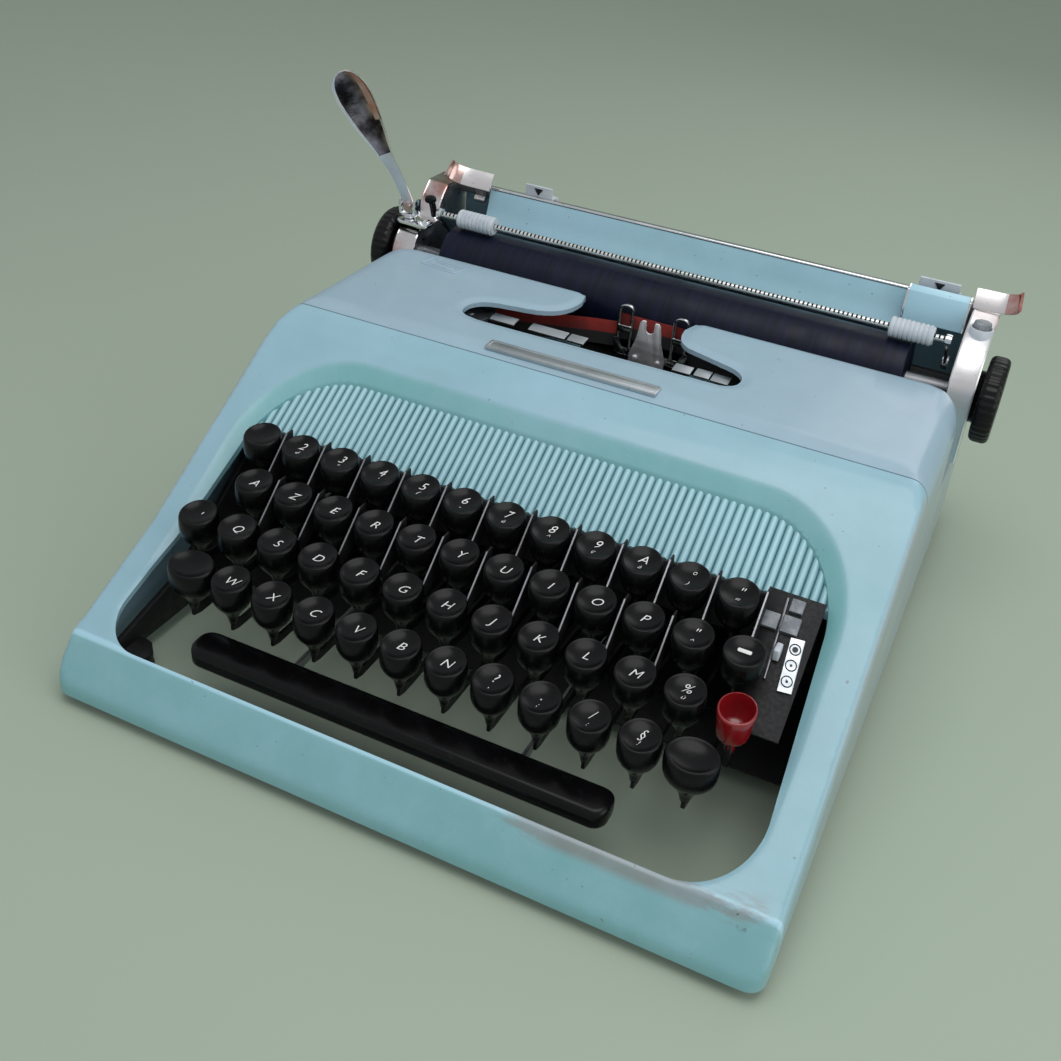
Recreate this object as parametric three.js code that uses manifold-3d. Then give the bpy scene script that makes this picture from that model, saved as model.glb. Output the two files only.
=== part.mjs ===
// A portable typewriter with a wide carriage, built from separate named pieces.
// Units are millimetres.  +X is the typist's right, +Y points away from the typist, +Z is up.
// Pieces are laid out from the printing point's plane (x = 0), the seam of the ribbon cover
// (y = 0) and the lower edge of the housing (z = 0).  The last lines move the whole group so
// that its origin is the bottom centre of its bounding box.

import * as THREE from "three";
import { mergeVertices } from "three/addons/utils/BufferGeometryUtils.js";
import Module from "manifold-3d";

const wasm = await Module();
wasm.setup();

// ---------------------------------------------------------------- driving dimensions

const GAP = 0.3; // between pieces that touch
const RUN = 0.8; // running clearance of moving pieces

// keys
const KEY_PITCH = 19;
const KEYS_ACROSS = 12;
const KEYBOARD_SHIFT = -9.2; // middle of the first row, left of the printing point
const ROW_SHIFTS = [0, 0.5, 0.77, 1.34]; // in key pitches
const ROW_COUNTS = [12, 11, 11, 10];
const KEY_TOP_RADIUS = 7.8;
const KEY_FOOT_RADIUS = 2.6;
const KEY_DEPTH = 15;
const FIRST_ROW_Y = -68.2;
const FIRST_ROW_Z = 81;
const ROW_STEP_Y = 18.9;
const ROW_STEP_Z = 9.8;
const LEVER_THICKNESS = 1.4;
const LEVER_HEIGHT = 4;
const LEVER_Z = 27;

// keyboard opening
const WELL_MARGIN = 23.5; // beside the outermost key centres
const WELL_FRONT = -150;
const WELL_REAR = -20;
const WELL_FRONT_RADIUS = 27;
const WELL_REAR_RADIUS = 38;

// housing
const RIM_WIDTH = 19; // beside the keyboard opening
const BODY_FRONT = -165;
const BODY_REAR = 187;
const WALL = 2.5;
const CORNER_RADIUS = 16;
const DECK_HEIGHT = 110;
const DECK_REAR = 87;
const REAR_WALL_DROP = 28;
const COVER_SIDE = 14; // depth of the ribbon cover's sides
const SHOULDER = 9;
const LIP_HEIGHT = 20;
const SEAM_SLOT = 0.6;

// ribbed panel
const RIB_COUNT = 62;
const RIB_DEPTH = 1.6;
const PANEL_THICKNESS = 2;
const PANEL_DROP = 5; // below the housing's slope
const PANEL_LENGTH = 46; // down the slope

// pivot rod of all key levers
const FULCRUM_Y = 60;
const FULCRUM_Z = 27;
const FULCRUM_RADIUS = 2;

// space bar
const SPACE_LENGTH = 176;
const SPACE_X = -8;
const SPACE_DEPTH = 15;
const SPACE_HEIGHT = 9;
const SPACE_Y = -137.5;
const SPACE_TOP = 27;

// carriage
const PLATEN_RADIUS = 18.5;
const PLATEN_CLEARANCE = 2.5; // behind the deck
const PLATEN_DROP = 10.5; // its axis below the deck
const SHAFT_RADIUS = 3.5;
const CARRIAGE_HALF = 137; // inner faces of the end plates
const END_PLATE = 2;
const FLANGE = 12;
const KNOB_RADIUS = 20;
const KNOB_THICKNESS = 9;
const KNOB_REACH = 21; // beyond the end plates
const HUB_RADIUS = 12;
const BAIL_RADIUS = 2;
const BAIL_LEAN = 0.083; // radians forward of the top of the platen
const ROLLER_RADIUS = 4.7;
const ROLLER_LENGTH = 20;
const TABLE_RISE = 19.5;
const TABLE_THICKNESS = 1.5;
const RAIL_WIDTH = 7;
const RAIL_HEIGHT = 10;

// ribbon
const SPOOL_X = 92;
const SPOOL_Y = 48;
const SPOOL_RADIUS = 24;
const SPOOL_HEIGHT = 17;
const RIBBON_HEIGHT = 13;
const RIBBON_THICKNESS = 0.6;

// feet
const FOOT_RADIUS = 9;
const FOOT_PROUD = 5;

// ---------------------------------------------------------------- derived places

const KEY_SPAN = (KEYS_ACROSS - 1) * KEY_PITCH;
const FIRST_KEY_X = KEYBOARD_SHIFT - KEY_SPAN / 2;
const ROW_OFFSETS = ROW_SHIFTS.map((shift) => shift * KEY_PITCH);
const WELL_HALF_WIDTH = KEY_SPAN / 2 + WELL_MARGIN;
const HALF_BODY = WELL_HALF_WIDTH + RIM_WIDTH;
const PLATEN_Y = DECK_REAR + PLATEN_CLEARANCE + PLATEN_RADIUS;
const PLATEN_Z = DECK_HEIGHT - PLATEN_DROP;
const CARRIAGE_FRONT = DECK_REAR + 4;
const CARRIAGE_REAR = PLATEN_Y + PLATEN_RADIUS + 25.5;
const CARRIAGE_FLOOR = PLATEN_Z - PLATEN_RADIUS - 9;
const CARRIAGE_TOP = PLATEN_Z + 31.5;
const CARRIAGE_WIDTH = CARRIAGE_HALF + END_PLATE;
const TAIL_HEIGHT = CARRIAGE_FLOOR - RAIL_HEIGHT - 2;
const RAIL_TOP = TAIL_HEIGHT + RAIL_HEIGHT;
const PLATEN_LEFT = -CARRIAGE_HALF + 16;
const PLATEN_RIGHT = CARRIAGE_HALF - 20;
const KNOB_OUTER_X = CARRIAGE_WIDTH + KNOB_REACH;
const BAIL_REACH = PLATEN_RADIUS + ROLLER_RADIUS + RUN;
const BAIL_Y = PLATEN_Y - BAIL_REACH * Math.sin(BAIL_LEAN);
const BAIL_Z = PLATEN_Z + BAIL_REACH * Math.cos(BAIL_LEAN);
const BAIL_PIVOT_Y = PLATEN_Y + 14;
const BAIL_PIVOT_Z = PLATEN_Z + 6.5;
const BAIL_ARMS = [-CARRIAGE_HALF + 8.5, CARRIAGE_HALF - 5.5];
const ROLLER_CENTRES = [PLATEN_LEFT + 14, PLATEN_RIGHT - 2];
const TABLE_LOW = [PLATEN_Y + PLATEN_RADIUS + 5, PLATEN_Z + 12.5];
const TABLE_HIGH = [TABLE_LOW[0] + TABLE_RISE / 3, TABLE_LOW[1] + TABLE_RISE];
const TABLE_LEFT = PLATEN_LEFT + 5;
const TABLE_RIGHT = PLATEN_RIGHT + 2;
const SPOOL_BOTTOM = DECK_HEIGHT - WALL - SPOOL_HEIGHT - 6.5;
const GUIDE_Y = DECK_REAR - 4;

// ---------------------------------------------------------------- materials

function paint(color, roughness, metalness) {
  return new THREE.MeshStandardMaterial({ color, roughness, metalness });
}

const BLUE_PAINT = paint(0x9dbdcb, 0.45, 0.05);
const TEAL_PAINT = paint(0x86bdc0, 0.45, 0.05);
const BLACK_PLASTIC = paint(0x0a0a0c, 0.3, 0.0);
const BLACK_ENAMEL = paint(0x101214, 0.5, 0.2);
const RED_PLASTIC = paint(0x9a1016, 0.25, 0.0);
const CHROME = paint(0xd8d8dc, 0.12, 1.0);
const STEEL = paint(0x9a9da0, 0.35, 1.0);
const RUBBER = paint(0x0b1020, 0.7, 0.0);
const PALE_PLASTIC = paint(0xc9d2dc, 0.5, 0.0);
const RIBBON_CLOTH = paint(0x5c1410, 0.9, 0.0);
const SILVER_PLATE = paint(0xc4c8cc, 0.4, 0.8);

// ---------------------------------------------------------------- solids

// A closed geometry as a solid that can be cut and joined.
function solid(geometry) {
  const bare = geometry.clone();
  bare.deleteAttribute("normal");
  bare.deleteAttribute("uv");
  const merged = mergeVertices(bare, 1e-4);
  return new wasm.Manifold(new wasm.Mesh({
    numProp: 3,
    vertProperties: new Float32Array(merged.attributes.position.array),
    triVerts: new Uint32Array(merged.index.array),
  }));
}

function union(parts) {
  return parts.reduce((whole, next) => whole.add(next));
}

function placed(geometry, position, rotation = [0, 0, 0]) {
  const turn = new THREE.Matrix4().makeRotationFromEuler(new THREE.Euler(...rotation));
  const copy = geometry.clone().applyMatrix4(turn);
  copy.translate(...position);
  return solid(copy);
}

// A box from its low corner to its high corner.
function block(low, high) {
  const size = high.map((value, axis) => value - low[axis]);
  const centre = high.map((value, axis) => (value + low[axis]) / 2);
  return placed(new THREE.BoxGeometry(...size), centre);
}

function rodX(radius, x0, x1, y, z, segments = 20) {
  const geometry = new THREE.CylinderGeometry(radius, radius, x1 - x0, segments);
  return placed(geometry, [(x0 + x1) / 2, y, z], [0, 0, Math.PI / 2]);
}

function rodZ(radius, z0, z1, x, y, segments = 20) {
  const geometry = new THREE.CylinderGeometry(radius, radius, z1 - z0, segments);
  return placed(geometry, [x, y, (z0 + z1) / 2], [Math.PI / 2, 0, 0]);
}

function shapeOf(points) {
  return new THREE.Shape(points.map(([a, b]) => new THREE.Vector2(a, b)));
}

// An outline in the YZ plane, carried along X from x0 to x1.
function alongX(points, x0, x1) {
  const flat = { depth: x1 - x0, bevelEnabled: false };
  const geometry = new THREE.ExtrudeGeometry(shapeOf(points), flat);
  const basis = new THREE.Matrix4().makeBasis(
    new THREE.Vector3(0, 1, 0), new THREE.Vector3(0, 0, 1), new THREE.Vector3(1, 0, 0));
  geometry.applyMatrix4(basis);
  geometry.translate(x0, 0, 0);
  return solid(geometry);
}

// An outline in the XY plane, carried along Z from z0 to z1.
function alongZ(shape, z0, z1, curveSegments = 8) {
  const flat = { depth: z1 - z0, bevelEnabled: false, curveSegments };
  const geometry = new THREE.ExtrudeGeometry(shape, flat);
  geometry.translate(0, 0, z0);
  return solid(geometry);
}

// A band of even thickness that follows points in the YZ plane, carried along X.
function bandX(points, thickness, x0, x1) {
  const left = [];
  const right = [];
  points.forEach((point, index) => {
    const before = points[Math.max(index - 1, 0)];
    const after = points[Math.min(index + 1, points.length - 1)];
    const along = new THREE.Vector2(after[0] - before[0], after[1] - before[1]).normalize();
    left.push([point[0] - along.y * thickness / 2, point[1] + along.x * thickness / 2]);
    right.unshift([point[0] + along.y * thickness / 2, point[1] - along.x * thickness / 2]);
  });
  return alongX([...left, ...right], x0, x1);
}

// A rectangle with one corner radius at its front and another at its rear.
function roundedPlan(x0, x1, y0, y1, frontRadius, rearRadius) {
  const plan = new THREE.Shape();
  plan.moveTo(x0 + frontRadius, y0);
  plan.lineTo(x1 - frontRadius, y0);
  plan.absarc(x1 - frontRadius, y0 + frontRadius, frontRadius, -Math.PI / 2, 0, false);
  plan.lineTo(x1, y1 - rearRadius);
  plan.absarc(x1 - rearRadius, y1 - rearRadius, rearRadius, 0, Math.PI / 2, false);
  plan.lineTo(x0 + rearRadius, y1);
  plan.absarc(x0 + rearRadius, y1 - rearRadius, rearRadius, Math.PI / 2, Math.PI, false);
  plan.lineTo(x0, y0 + frontRadius);
  plan.absarc(x0 + frontRadius, y0 + frontRadius, frontRadius, Math.PI, Math.PI * 1.5, false);
  return plan;
}

// A straight bar of round section between two points.
function bar(from, to, radius, segments = 8) {
  const start = new THREE.Vector3(...from);
  const end = new THREE.Vector3(...to);
  const direction = end.clone().sub(start);
  const geometry = new THREE.CylinderGeometry(radius, radius, direction.length(), segments);
  const turn = new THREE.Quaternion().setFromUnitVectors(
    new THREE.Vector3(0, 1, 0), direction.clone().normalize());
  geometry.applyQuaternion(turn);
  const middle = start.add(end).multiplyScalar(0.5);
  geometry.translate(middle.x, middle.y, middle.z);
  return solid(geometry);
}

const machine = new THREE.Group();

function piece(name, shape, material) {
  const mesh = shape.getMesh();
  const geometry = new THREE.BufferGeometry();
  const positions = new THREE.BufferAttribute(new Float32Array(mesh.vertProperties), 3);
  geometry.setAttribute("position", positions);
  geometry.setIndex(new THREE.BufferAttribute(new Uint32Array(mesh.triVerts), 1));
  const flat = geometry.toNonIndexed();
  flat.computeVertexNormals();
  const node = new THREE.Mesh(flat, material);
  node.name = name;
  machine.add(node);
}

// ---------------------------------------------------------------- housing

// The housing's side outline: front lip, slope over the keys, shoulder, deck and low tail.
const SLOPE_START = [-148, LIP_HEIGHT + 2];
const SLOPE_KNEE = [-103, 44];
const SLOPE_END = [-13, DECK_HEIGHT - 7];
const SLOPE_ANGLE = Math.atan2(SLOPE_END[1] - SLOPE_KNEE[1], SLOPE_END[0] - SLOPE_KNEE[0]);

function sideOutline(inset) {
  return [
    [BODY_FRONT + inset, -10 * Math.sign(inset)],
    [BODY_FRONT + 1 + inset, 9],
    [BODY_FRONT + 6 + inset, 16 - inset / 2],
    [SLOPE_START[0] + inset / 2, SLOPE_START[1] - inset],
    [SLOPE_KNEE[0] + inset / 2, SLOPE_KNEE[1] - inset],
    [SLOPE_END[0] + inset / 2, SLOPE_END[1] - inset],
    [-4 + inset / 4, DECK_HEIGHT - 2.5 - inset],
    [8, DECK_HEIGHT - inset],
    [DECK_REAR - inset, DECK_HEIGHT - inset],
    [DECK_REAR - inset, TAIL_HEIGHT - inset],
    [BODY_REAR - 12 - inset / 2, TAIL_HEIGHT - inset],
    [BODY_REAR - 3 - inset, TAIL_HEIGHT - 5 - inset / 2],
    [BODY_REAR - inset, TAIL_HEIGHT - 14],
    [BODY_REAR - inset, -10 * Math.sign(inset)],
  ];
}

// The deck meets the side walls in a sloping shoulder.
function shoulderCut(side, inset) {
  const reach = SHOULDER + inset * Math.SQRT2;
  const outer = side * (HALF_BODY + 1);
  const inner = side * (HALF_BODY - reach - 1);
  const top = DECK_HEIGHT + 1;
  const cut = shapeOf([[inner, top], [outer, top], [outer, DECK_HEIGHT - reach - 1]]);
  const geometry = new THREE.ExtrudeGeometry(cut, { depth: DECK_REAR + 40, bevelEnabled: false });
  geometry.rotateX(Math.PI / 2);
  geometry.translate(0, DECK_REAR + 20, 0);
  return solid(geometry);
}

function housingSolid(inset) {
  const x = HALF_BODY - inset;
  const radius = CORNER_RADIUS - inset;
  const plan = roundedPlan(-x, x, BODY_FRONT + inset, BODY_REAR - inset, radius, radius);
  const full = alongX(sideOutline(inset), -x, x)
    .intersect(alongZ(plan, -20, DECK_HEIGHT + 20, 4));
  return full.subtract(shoulderCut(1, inset)).subtract(shoulderCut(-1, inset));
}

function housing() {
  const shell = housingSolid(0).subtract(housingSolid(WALL));
  const well = roundedPlan(
    -WELL_HALF_WIDTH, WELL_HALF_WIDTH, WELL_FRONT, WELL_REAR, WELL_FRONT_RADIUS, WELL_REAR_RADIUS);
  const opened = shell.subtract(alongZ(well, -5, DECK_HEIGHT + 5, 5));
  const halfWindow = HALF_BODY - WALL;
  const rearWindow = block(
    [-halfWindow, DECK_REAR - WALL - 1, DECK_HEIGHT - REAR_WALL_DROP],
    [halfWindow, DECK_REAR + 1, DECK_HEIGHT - WALL]);
  return opened.subtract(rearWindow);
}

const COVER_EDGE = DECK_HEIGHT - COVER_SIDE;
const COVER_SPACE = block(
  [-HALF_BODY - 1, 0, COVER_EDGE - SEAM_SLOT / 2], [HALF_BODY + 1, DECK_REAR + 5, DECK_HEIGHT + 5]);
const WHOLE_HOUSING = housing();

function bodyShell() {
  return WHOLE_HOUSING.subtract(COVER_SPACE);
}

// The cut-out round the type guide: a wide slot on both sides, open to the rear in the middle.
function coverCutOut() {
  const cut = new THREE.Shape();
  cut.moveTo(-36.5, DECK_REAR + 2);
  cut.lineTo(-34, DECK_REAR - 10);
  cut.quadraticCurveTo(-34, 57, -52, 54);
  cut.lineTo(-66, 51.5);
  cut.quadraticCurveTo(-80, 48, -76, 34);
  cut.quadraticCurveTo(-73, 29.5, -61, 29.5);
  cut.lineTo(50, 31);
  cut.quadraticCurveTo(58, 33, 57, 41);
  cut.quadraticCurveTo(56, 48, 48, 51);
  cut.lineTo(27, 58);
  cut.quadraticCurveTo(19, 62, 18.6, DECK_REAR - 11);
  cut.lineTo(22, DECK_REAR + 2);
  return alongZ(cut, 50, 200, 4);
}

function ribbonCover() {
  const space = block(
    [-HALF_BODY - 1, SEAM_SLOT, COVER_EDGE + SEAM_SLOT / 2],
    [HALF_BODY + 1, DECK_REAR + 5, DECK_HEIGHT + 5]);
  return WHOLE_HOUSING.intersect(space).subtract(coverCutOut());
}

// The fluted panel lies below the housing's slope and closes the upper end of the well.
function ribbedPanel() {
  const halfWidth = WELL_HALF_WIDTH - 1.5;
  const pitch = 2 * halfWidth / RIB_COUNT;
  const points = [[-halfWidth, -PANEL_THICKNESS]];
  for (let rib = 0; rib < RIB_COUNT; rib += 1) {
    const x = -halfWidth + rib * pitch;
    points.push([x, 0], [x + pitch / 2, RIB_DEPTH]);
  }
  points.push([halfWidth, 0], [halfWidth, -PANEL_THICKNESS]);
  const geometry = new THREE.ExtrudeGeometry(
    shapeOf(points.reverse()), { depth: PANEL_LENGTH, bevelEnabled: false });
  geometry.rotateX(Math.PI / 2);
  geometry.rotateX(SLOPE_ANGLE);
  const rise = SLOPE_END[1] + (WELL_REAR - SLOPE_END[0]) * Math.tan(SLOPE_ANGLE);
  geometry.translate(0, WELL_REAR, rise - PANEL_DROP - RIB_DEPTH);
  const plan = roundedPlan(
    -halfWidth, halfWidth, WELL_FRONT, WELL_REAR - 1, WELL_FRONT_RADIUS, WELL_REAR_RADIUS);
  return solid(geometry).intersect(alongZ(plan, 0, DECK_HEIGHT, 5));
}

piece("body_shell", bodyShell(), BLUE_PAINT);
piece("ribbon_cover", ribbonCover(), BLUE_PAINT);
piece("ribbed_panel", ribbedPanel(), TEAL_PAINT);
piece("name_plate", block(
  [-49, 4, DECK_HEIGHT + GAP], [31, 12, DECK_HEIGHT + GAP + 0.8]), SILVER_PLATE);

// ---------------------------------------------------------------- chassis

const SIDE_FRAME_X = HALF_BODY - WALL - 9;
const SIDE_FRAME_THICKNESS = 2.5;

function chassis() {
  const parts = [];
  for (const side of [-1, 1]) {
    const x0 = Math.min(side * SIDE_FRAME_X, side * (SIDE_FRAME_X + SIDE_FRAME_THICKNESS));
    const x1 = x0 + SIDE_FRAME_THICKNESS;
    parts.push(alongX([
      [BODY_FRONT + 20, 1.5], [BODY_REAR - 12, 1.5], [BODY_REAR - 12, TAIL_HEIGHT - 12],
      [DECK_REAR - 10, TAIL_HEIGHT - 6], [DECK_REAR - 14, DECK_HEIGHT - 26],
      [20, DECK_HEIGHT - 26], [-40, 62], [-100, 20], [BODY_FRONT + 20, 8],
    ], x0, x1));
    for (const y of [BODY_FRONT + 30, BODY_REAR - 24]) {
      const x = side * (SIDE_FRAME_X - 2);
      parts.push(rodZ(FOOT_RADIUS, 1.5, 4.5, x, y, 12));
    }
  }
  const reach = SIDE_FRAME_X + 1;
  parts.push(rodX(FULCRUM_RADIUS, -reach, reach, FULCRUM_Y, FULCRUM_Z, 12));
  parts.push(block([-reach, BODY_REAR - 30, 3], [reach, BODY_REAR - 26, 30]));
  parts.push(block([-reach, FULCRUM_Y + 4, 1.5], [reach, FULCRUM_Y + 20, 4]));
  return union(parts);
}

piece("chassis", chassis(), BLACK_ENAMEL);

const FEET = [[-1, 0, "foot_front_left"], [1, 0, "foot_front_right"],
  [-1, 1, "foot_rear_left"], [1, 1, "foot_rear_right"]];
for (const [side, rear, name] of FEET) {
  const y = rear ? BODY_REAR - 24 : BODY_FRONT + 30;
  const foot = rodZ(FOOT_RADIUS, -FOOT_PROUD, 1.5 - GAP, side * (SIDE_FRAME_X - 2), y, 16);
  piece(name, foot, RUBBER);
}

// ---------------------------------------------------------------- keyboard

function rowPlace(row) {
  return [FIRST_ROW_Y - row * ROW_STEP_Y, FIRST_ROW_Z - row * ROW_STEP_Z];
}

function keyX(row, index) {
  return FIRST_KEY_X + ROW_OFFSETS[row] + index * KEY_PITCH;
}

// A cup-shaped key top that tapers to its stem; length stretches it along X.
function keyCap(x, y, z, stretch = 1) {
  const profile = [[0, -KEY_DEPTH], [KEY_FOOT_RADIUS, -KEY_DEPTH], [KEY_TOP_RADIUS, -3],
    [KEY_TOP_RADIUS, 0], [0, 0]];
  const outline = profile.map(([radius, height]) => new THREE.Vector2(radius, height));
  const geometry = new THREE.LatheGeometry(outline, 8);
  geometry.rotateX(Math.PI / 2);
  geometry.rotateZ(Math.PI / 8);
  geometry.scale(stretch, 1, 1);
  geometry.translate(x, y, z);
  return solid(geometry);
}

// A flat lever from the fulcrum to below the key, with an upright stem under the key top.
function keyLever(x, y, stemTop, lugY = null) {
  const half = LEVER_THICKNESS / 2;
  const low = LEVER_Z - LEVER_HEIGHT / 2;
  const high = LEVER_Z + LEVER_HEIGHT / 2;
  const rear = FULCRUM_Y - FULCRUM_RADIUS - RUN;
  const outline = [[y - 1.5, low], [rear, low], [rear, high]];
  if (lugY !== null) {
    outline.push([lugY + 1.2, high], [lugY + 1.2, LUG_TOP], [lugY - 1.2, LUG_TOP], [lugY - 1.2, high]);
  }
  outline.push([y + 1.5, high], [y + 1.5, stemTop], [y - 1.5, stemTop]);
  return alongX(outline, x - half, x + half);
}

const LUG_TOP = LEVER_Z + 12;
const LUG_STEP = 4.5;

// The keys of one row hang on levers that share a thin cross bar just before the fulcrum.
function keyRow(row) {
  const [y, z] = rowPlace(row);
  const lugY = FULCRUM_Y - 6 - row * LUG_STEP;
  const parts = [];
  for (let index = 0; index < ROW_COUNTS[row]; index += 1) {
    const x = keyX(row, index);
    parts.push(keyLever(x, y, z - KEY_DEPTH + 2, lugY));
    parts.push(keyCap(x, y, z));
  }
  const first = keyX(row, 0);
  const last = keyX(row, ROW_COUNTS[row] - 1);
  parts.push(block([first, lugY - 1.2, LUG_TOP - 2.5], [last, lugY + 1.2, LUG_TOP]));
  return union(parts);
}

for (let row = 0; row < ROW_COUNTS.length; row += 1) {
  piece(`key_row_${row + 1}`, keyRow(row), BLACK_PLASTIC);
}

function singleKey(row, index, stretch = 1) {
  const [y, z] = rowPlace(row);
  const x = keyX(row, index);
  return keyLever(x, y, z - KEY_DEPTH + 2).add(keyCap(x, y, z, stretch));
}

const SHIFT_STRETCH = 1.25;
piece("backspace_key", singleKey(1, 11), BLACK_PLASTIC);
piece("tab_key", singleKey(2, 11, 1.1), RED_PLASTIC);
piece("shift_lock_key", singleKey(2, -1), BLACK_PLASTIC);
piece("shift_key_left", singleKey(3, -1, SHIFT_STRETCH), BLACK_PLASTIC);
piece("shift_key_right", singleKey(3, 10, SHIFT_STRETCH), BLACK_PLASTIC);

// The space bar's two arms run back to the fulcrum between the key levers.
function spaceBar() {
  const parts = [block(
    [SPACE_X - SPACE_LENGTH / 2, SPACE_Y - SPACE_DEPTH / 2, SPACE_TOP - SPACE_HEIGHT],
    [SPACE_X + SPACE_LENGTH / 2, SPACE_Y + SPACE_DEPTH / 2, SPACE_TOP])];
  const free = (ROW_OFFSETS[3] - KEY_PITCH) / 2;
  for (const column of [2, 9]) {
    const x = FIRST_KEY_X + column * KEY_PITCH + free;
    parts.push(alongX([
      [SPACE_Y, SPACE_TOP - SPACE_HEIGHT + 1], [SPACE_Y, SPACE_TOP - SPACE_HEIGHT + 5],
      [FULCRUM_Y - FULCRUM_RADIUS - RUN, LEVER_Z + 2], [FULCRUM_Y - FULCRUM_RADIUS - RUN, LEVER_Z - 2],
    ].reverse(), x - LEVER_THICKNESS / 2, x + LEVER_THICKNESS / 2));
  }
  return union(parts);
}

piece("space_bar", spaceBar(), BLACK_PLASTIC);

// A sloping black panel beside the keys carries the ribbon selector.
const PANEL_X = WELL_HALF_WIDTH - 9;
const SELECTOR_LOW = [-84, 54.5];
const SELECTOR_HIGH = [-62, 69.5];
const PANEL_LOW = [-98, 45];
const PANEL_HIGH = [-44, 81.8];

piece("selector_panel", bandX([PANEL_LOW, PANEL_HIGH], 1.6, PANEL_X - 7, PANEL_X + 6), BLACK_ENAMEL);
piece("selector_plate", bandX(
  [[SELECTOR_LOW[0], SELECTOR_LOW[1] + 1.9], [SELECTOR_HIGH[0], SELECTOR_HIGH[1] + 1.9]],
  0.8, PANEL_X - 2, PANEL_X + 5), SILVER_PLATE);
piece("selector_knob", bandX([[-76, 63.9], [-72, 66.6]], 2.6, PANEL_X - 6, PANEL_X - 3.5), CHROME);

// ---------------------------------------------------------------- type basket

const SEGMENT_Y = 34;
const SEGMENT_Z = DECK_HEIGHT - 54;
const SEGMENT_OUTER = 44;
const SEGMENT_INNER = 36;
const TYPEBAR_COUNT = 13;
const TYPEBAR_SPREAD = 1.9; // radians from the first to the last bar
const TYPEBAR_TILT = 12; // degrees, heads up

function typeSegment() {
  const ring = new THREE.Shape();
  ring.absarc(0, 0, SEGMENT_OUTER, Math.PI * 1.05, Math.PI * 1.95, false);
  ring.absarc(0, 0, SEGMENT_INNER, Math.PI * 1.95, Math.PI * 1.05, true);
  const geometry = new THREE.ExtrudeGeometry(ring, { depth: 5, bevelEnabled: false, curveSegments: 12 });
  geometry.rotateX(Math.PI / 2);
  geometry.rotateX(0.6);
  geometry.translate(0, SEGMENT_Y, SEGMENT_Z + 30);
  return solid(geometry);
}

// Resting type bars fan out from the segment towards the typist, tied by a thin arc.
function typebars() {
  const parts = [];
  for (let index = 0; index < TYPEBAR_COUNT; index += 1) {
    const turn = -TYPEBAR_SPREAD / 2 + index * TYPEBAR_SPREAD / (TYPEBAR_COUNT - 1);
    const bars = new THREE.BoxGeometry(1.2, 52, 4);
    bars.translate(0, -12, 0);
    bars.rotateZ(turn);
    bars.translate(0, -6, 0);
    parts.push(solid(bars));
  }
  const tie = new THREE.Shape();
  tie.absarc(0, -6, 31, Math.PI * 1.5 - 1, Math.PI * 1.5 + 1, false);
  tie.absarc(0, -6, 28, Math.PI * 1.5 + 1, Math.PI * 1.5 - 1, true);
  parts.push(alongZ(tie, -1, 1, 12));
  return union(parts);
}

function placedTypebars() {
  return typebars().rotate(-TYPEBAR_TILT, 0, 0).translate(0, SEGMENT_Y - 8, SEGMENT_Z + 14);
}

// ---------------------------------------------------------------- type guide and ribbon

const PRINT_LINE = DECK_HEIGHT - 4;
const GUIDE_BASE = DECK_HEIGHT - 44;

function typeGuide() {
  const plate = block([-9, GUIDE_Y - 2.2, GUIDE_BASE], [9, GUIDE_Y - 1, PRINT_LINE]);
  const notch = block([-2, GUIDE_Y - 3, PRINT_LINE - 3], [2, GUIDE_Y, PRINT_LINE + 1]);
  const base = block([-30, GUIDE_Y - 6, GUIDE_BASE - 2], [30, GUIDE_Y - 1, GUIDE_BASE + 2]);
  return plate.add(base).subtract(notch);
}

piece("type_guide", typeGuide(), CHROME);

// Two upright frames stand on one bar and lift the ribbon to the printing line.
const VIBRATOR_FOOT = DECK_HEIGHT - 26;
const VIBRATOR_REACH = 17;
const VIBRATOR_INNER = 10;

function vibrator() {
  const y0 = GUIDE_Y + 3;
  const y1 = GUIDE_Y + 4.2;
  const half = 0.7;
  const reach = VIBRATOR_REACH + half;
  const parts = [block([-reach, y0, VIBRATOR_FOOT], [reach, y1, VIBRATOR_FOOT + 3])];
  for (const side of [-1, 1]) {
    for (const x of [side * VIBRATOR_INNER, side * VIBRATOR_REACH]) {
      parts.push(block([x - half, GUIDE_Y + 1.5, VIBRATOR_FOOT], [x + half, y1, DECK_HEIGHT]));
    }
    const x0 = Math.min(side * VIBRATOR_INNER, side * VIBRATOR_REACH) - half;
    const x1 = Math.max(side * VIBRATOR_INNER, side * VIBRATOR_REACH) + half;
    parts.push(block([x0, y0, DECK_HEIGHT - 2.4], [x1, y1, DECK_HEIGHT]));
  }
  return union(parts);
}

piece("ribbon_vibrator", vibrator(), CHROME);
piece("type_segment", typeSegment(), STEEL);
piece("typebars", placedTypebars(), STEEL);

const ROLL_RADIUS = SPOOL_RADIUS - 6;

function spool(x) {
  const flange = rodZ(SPOOL_RADIUS, 0, 1, x, SPOOL_Y, 24);
  const top = rodZ(SPOOL_RADIUS, SPOOL_HEIGHT - 1, SPOOL_HEIGHT, x, SPOOL_Y, 24);
  const roll = rodZ(ROLL_RADIUS, 0.5, SPOOL_HEIGHT - 0.5, x, SPOOL_Y, 24);
  const hub = rodZ(4, SPOOL_HEIGHT - 1, SPOOL_HEIGHT + 2.5, x, SPOOL_Y, 12);
  return union([flange, top, roll, hub]).translate(0, 0, SPOOL_BOTTOM);
}

piece("ribbon_spool_left", spool(-SPOOL_X), STEEL);
piece("ribbon_spool_right", spool(SPOOL_X), STEEL);

// The ribbon runs from each spool to the vibrator, and stands on edge.
const RIBBON_Z = SPOOL_BOTTOM + 2;
const MIDDLE_Y = GUIDE_Y + 4.2 + GAP;
const MIDDLE_Z = PRINT_LINE - 15;

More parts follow.
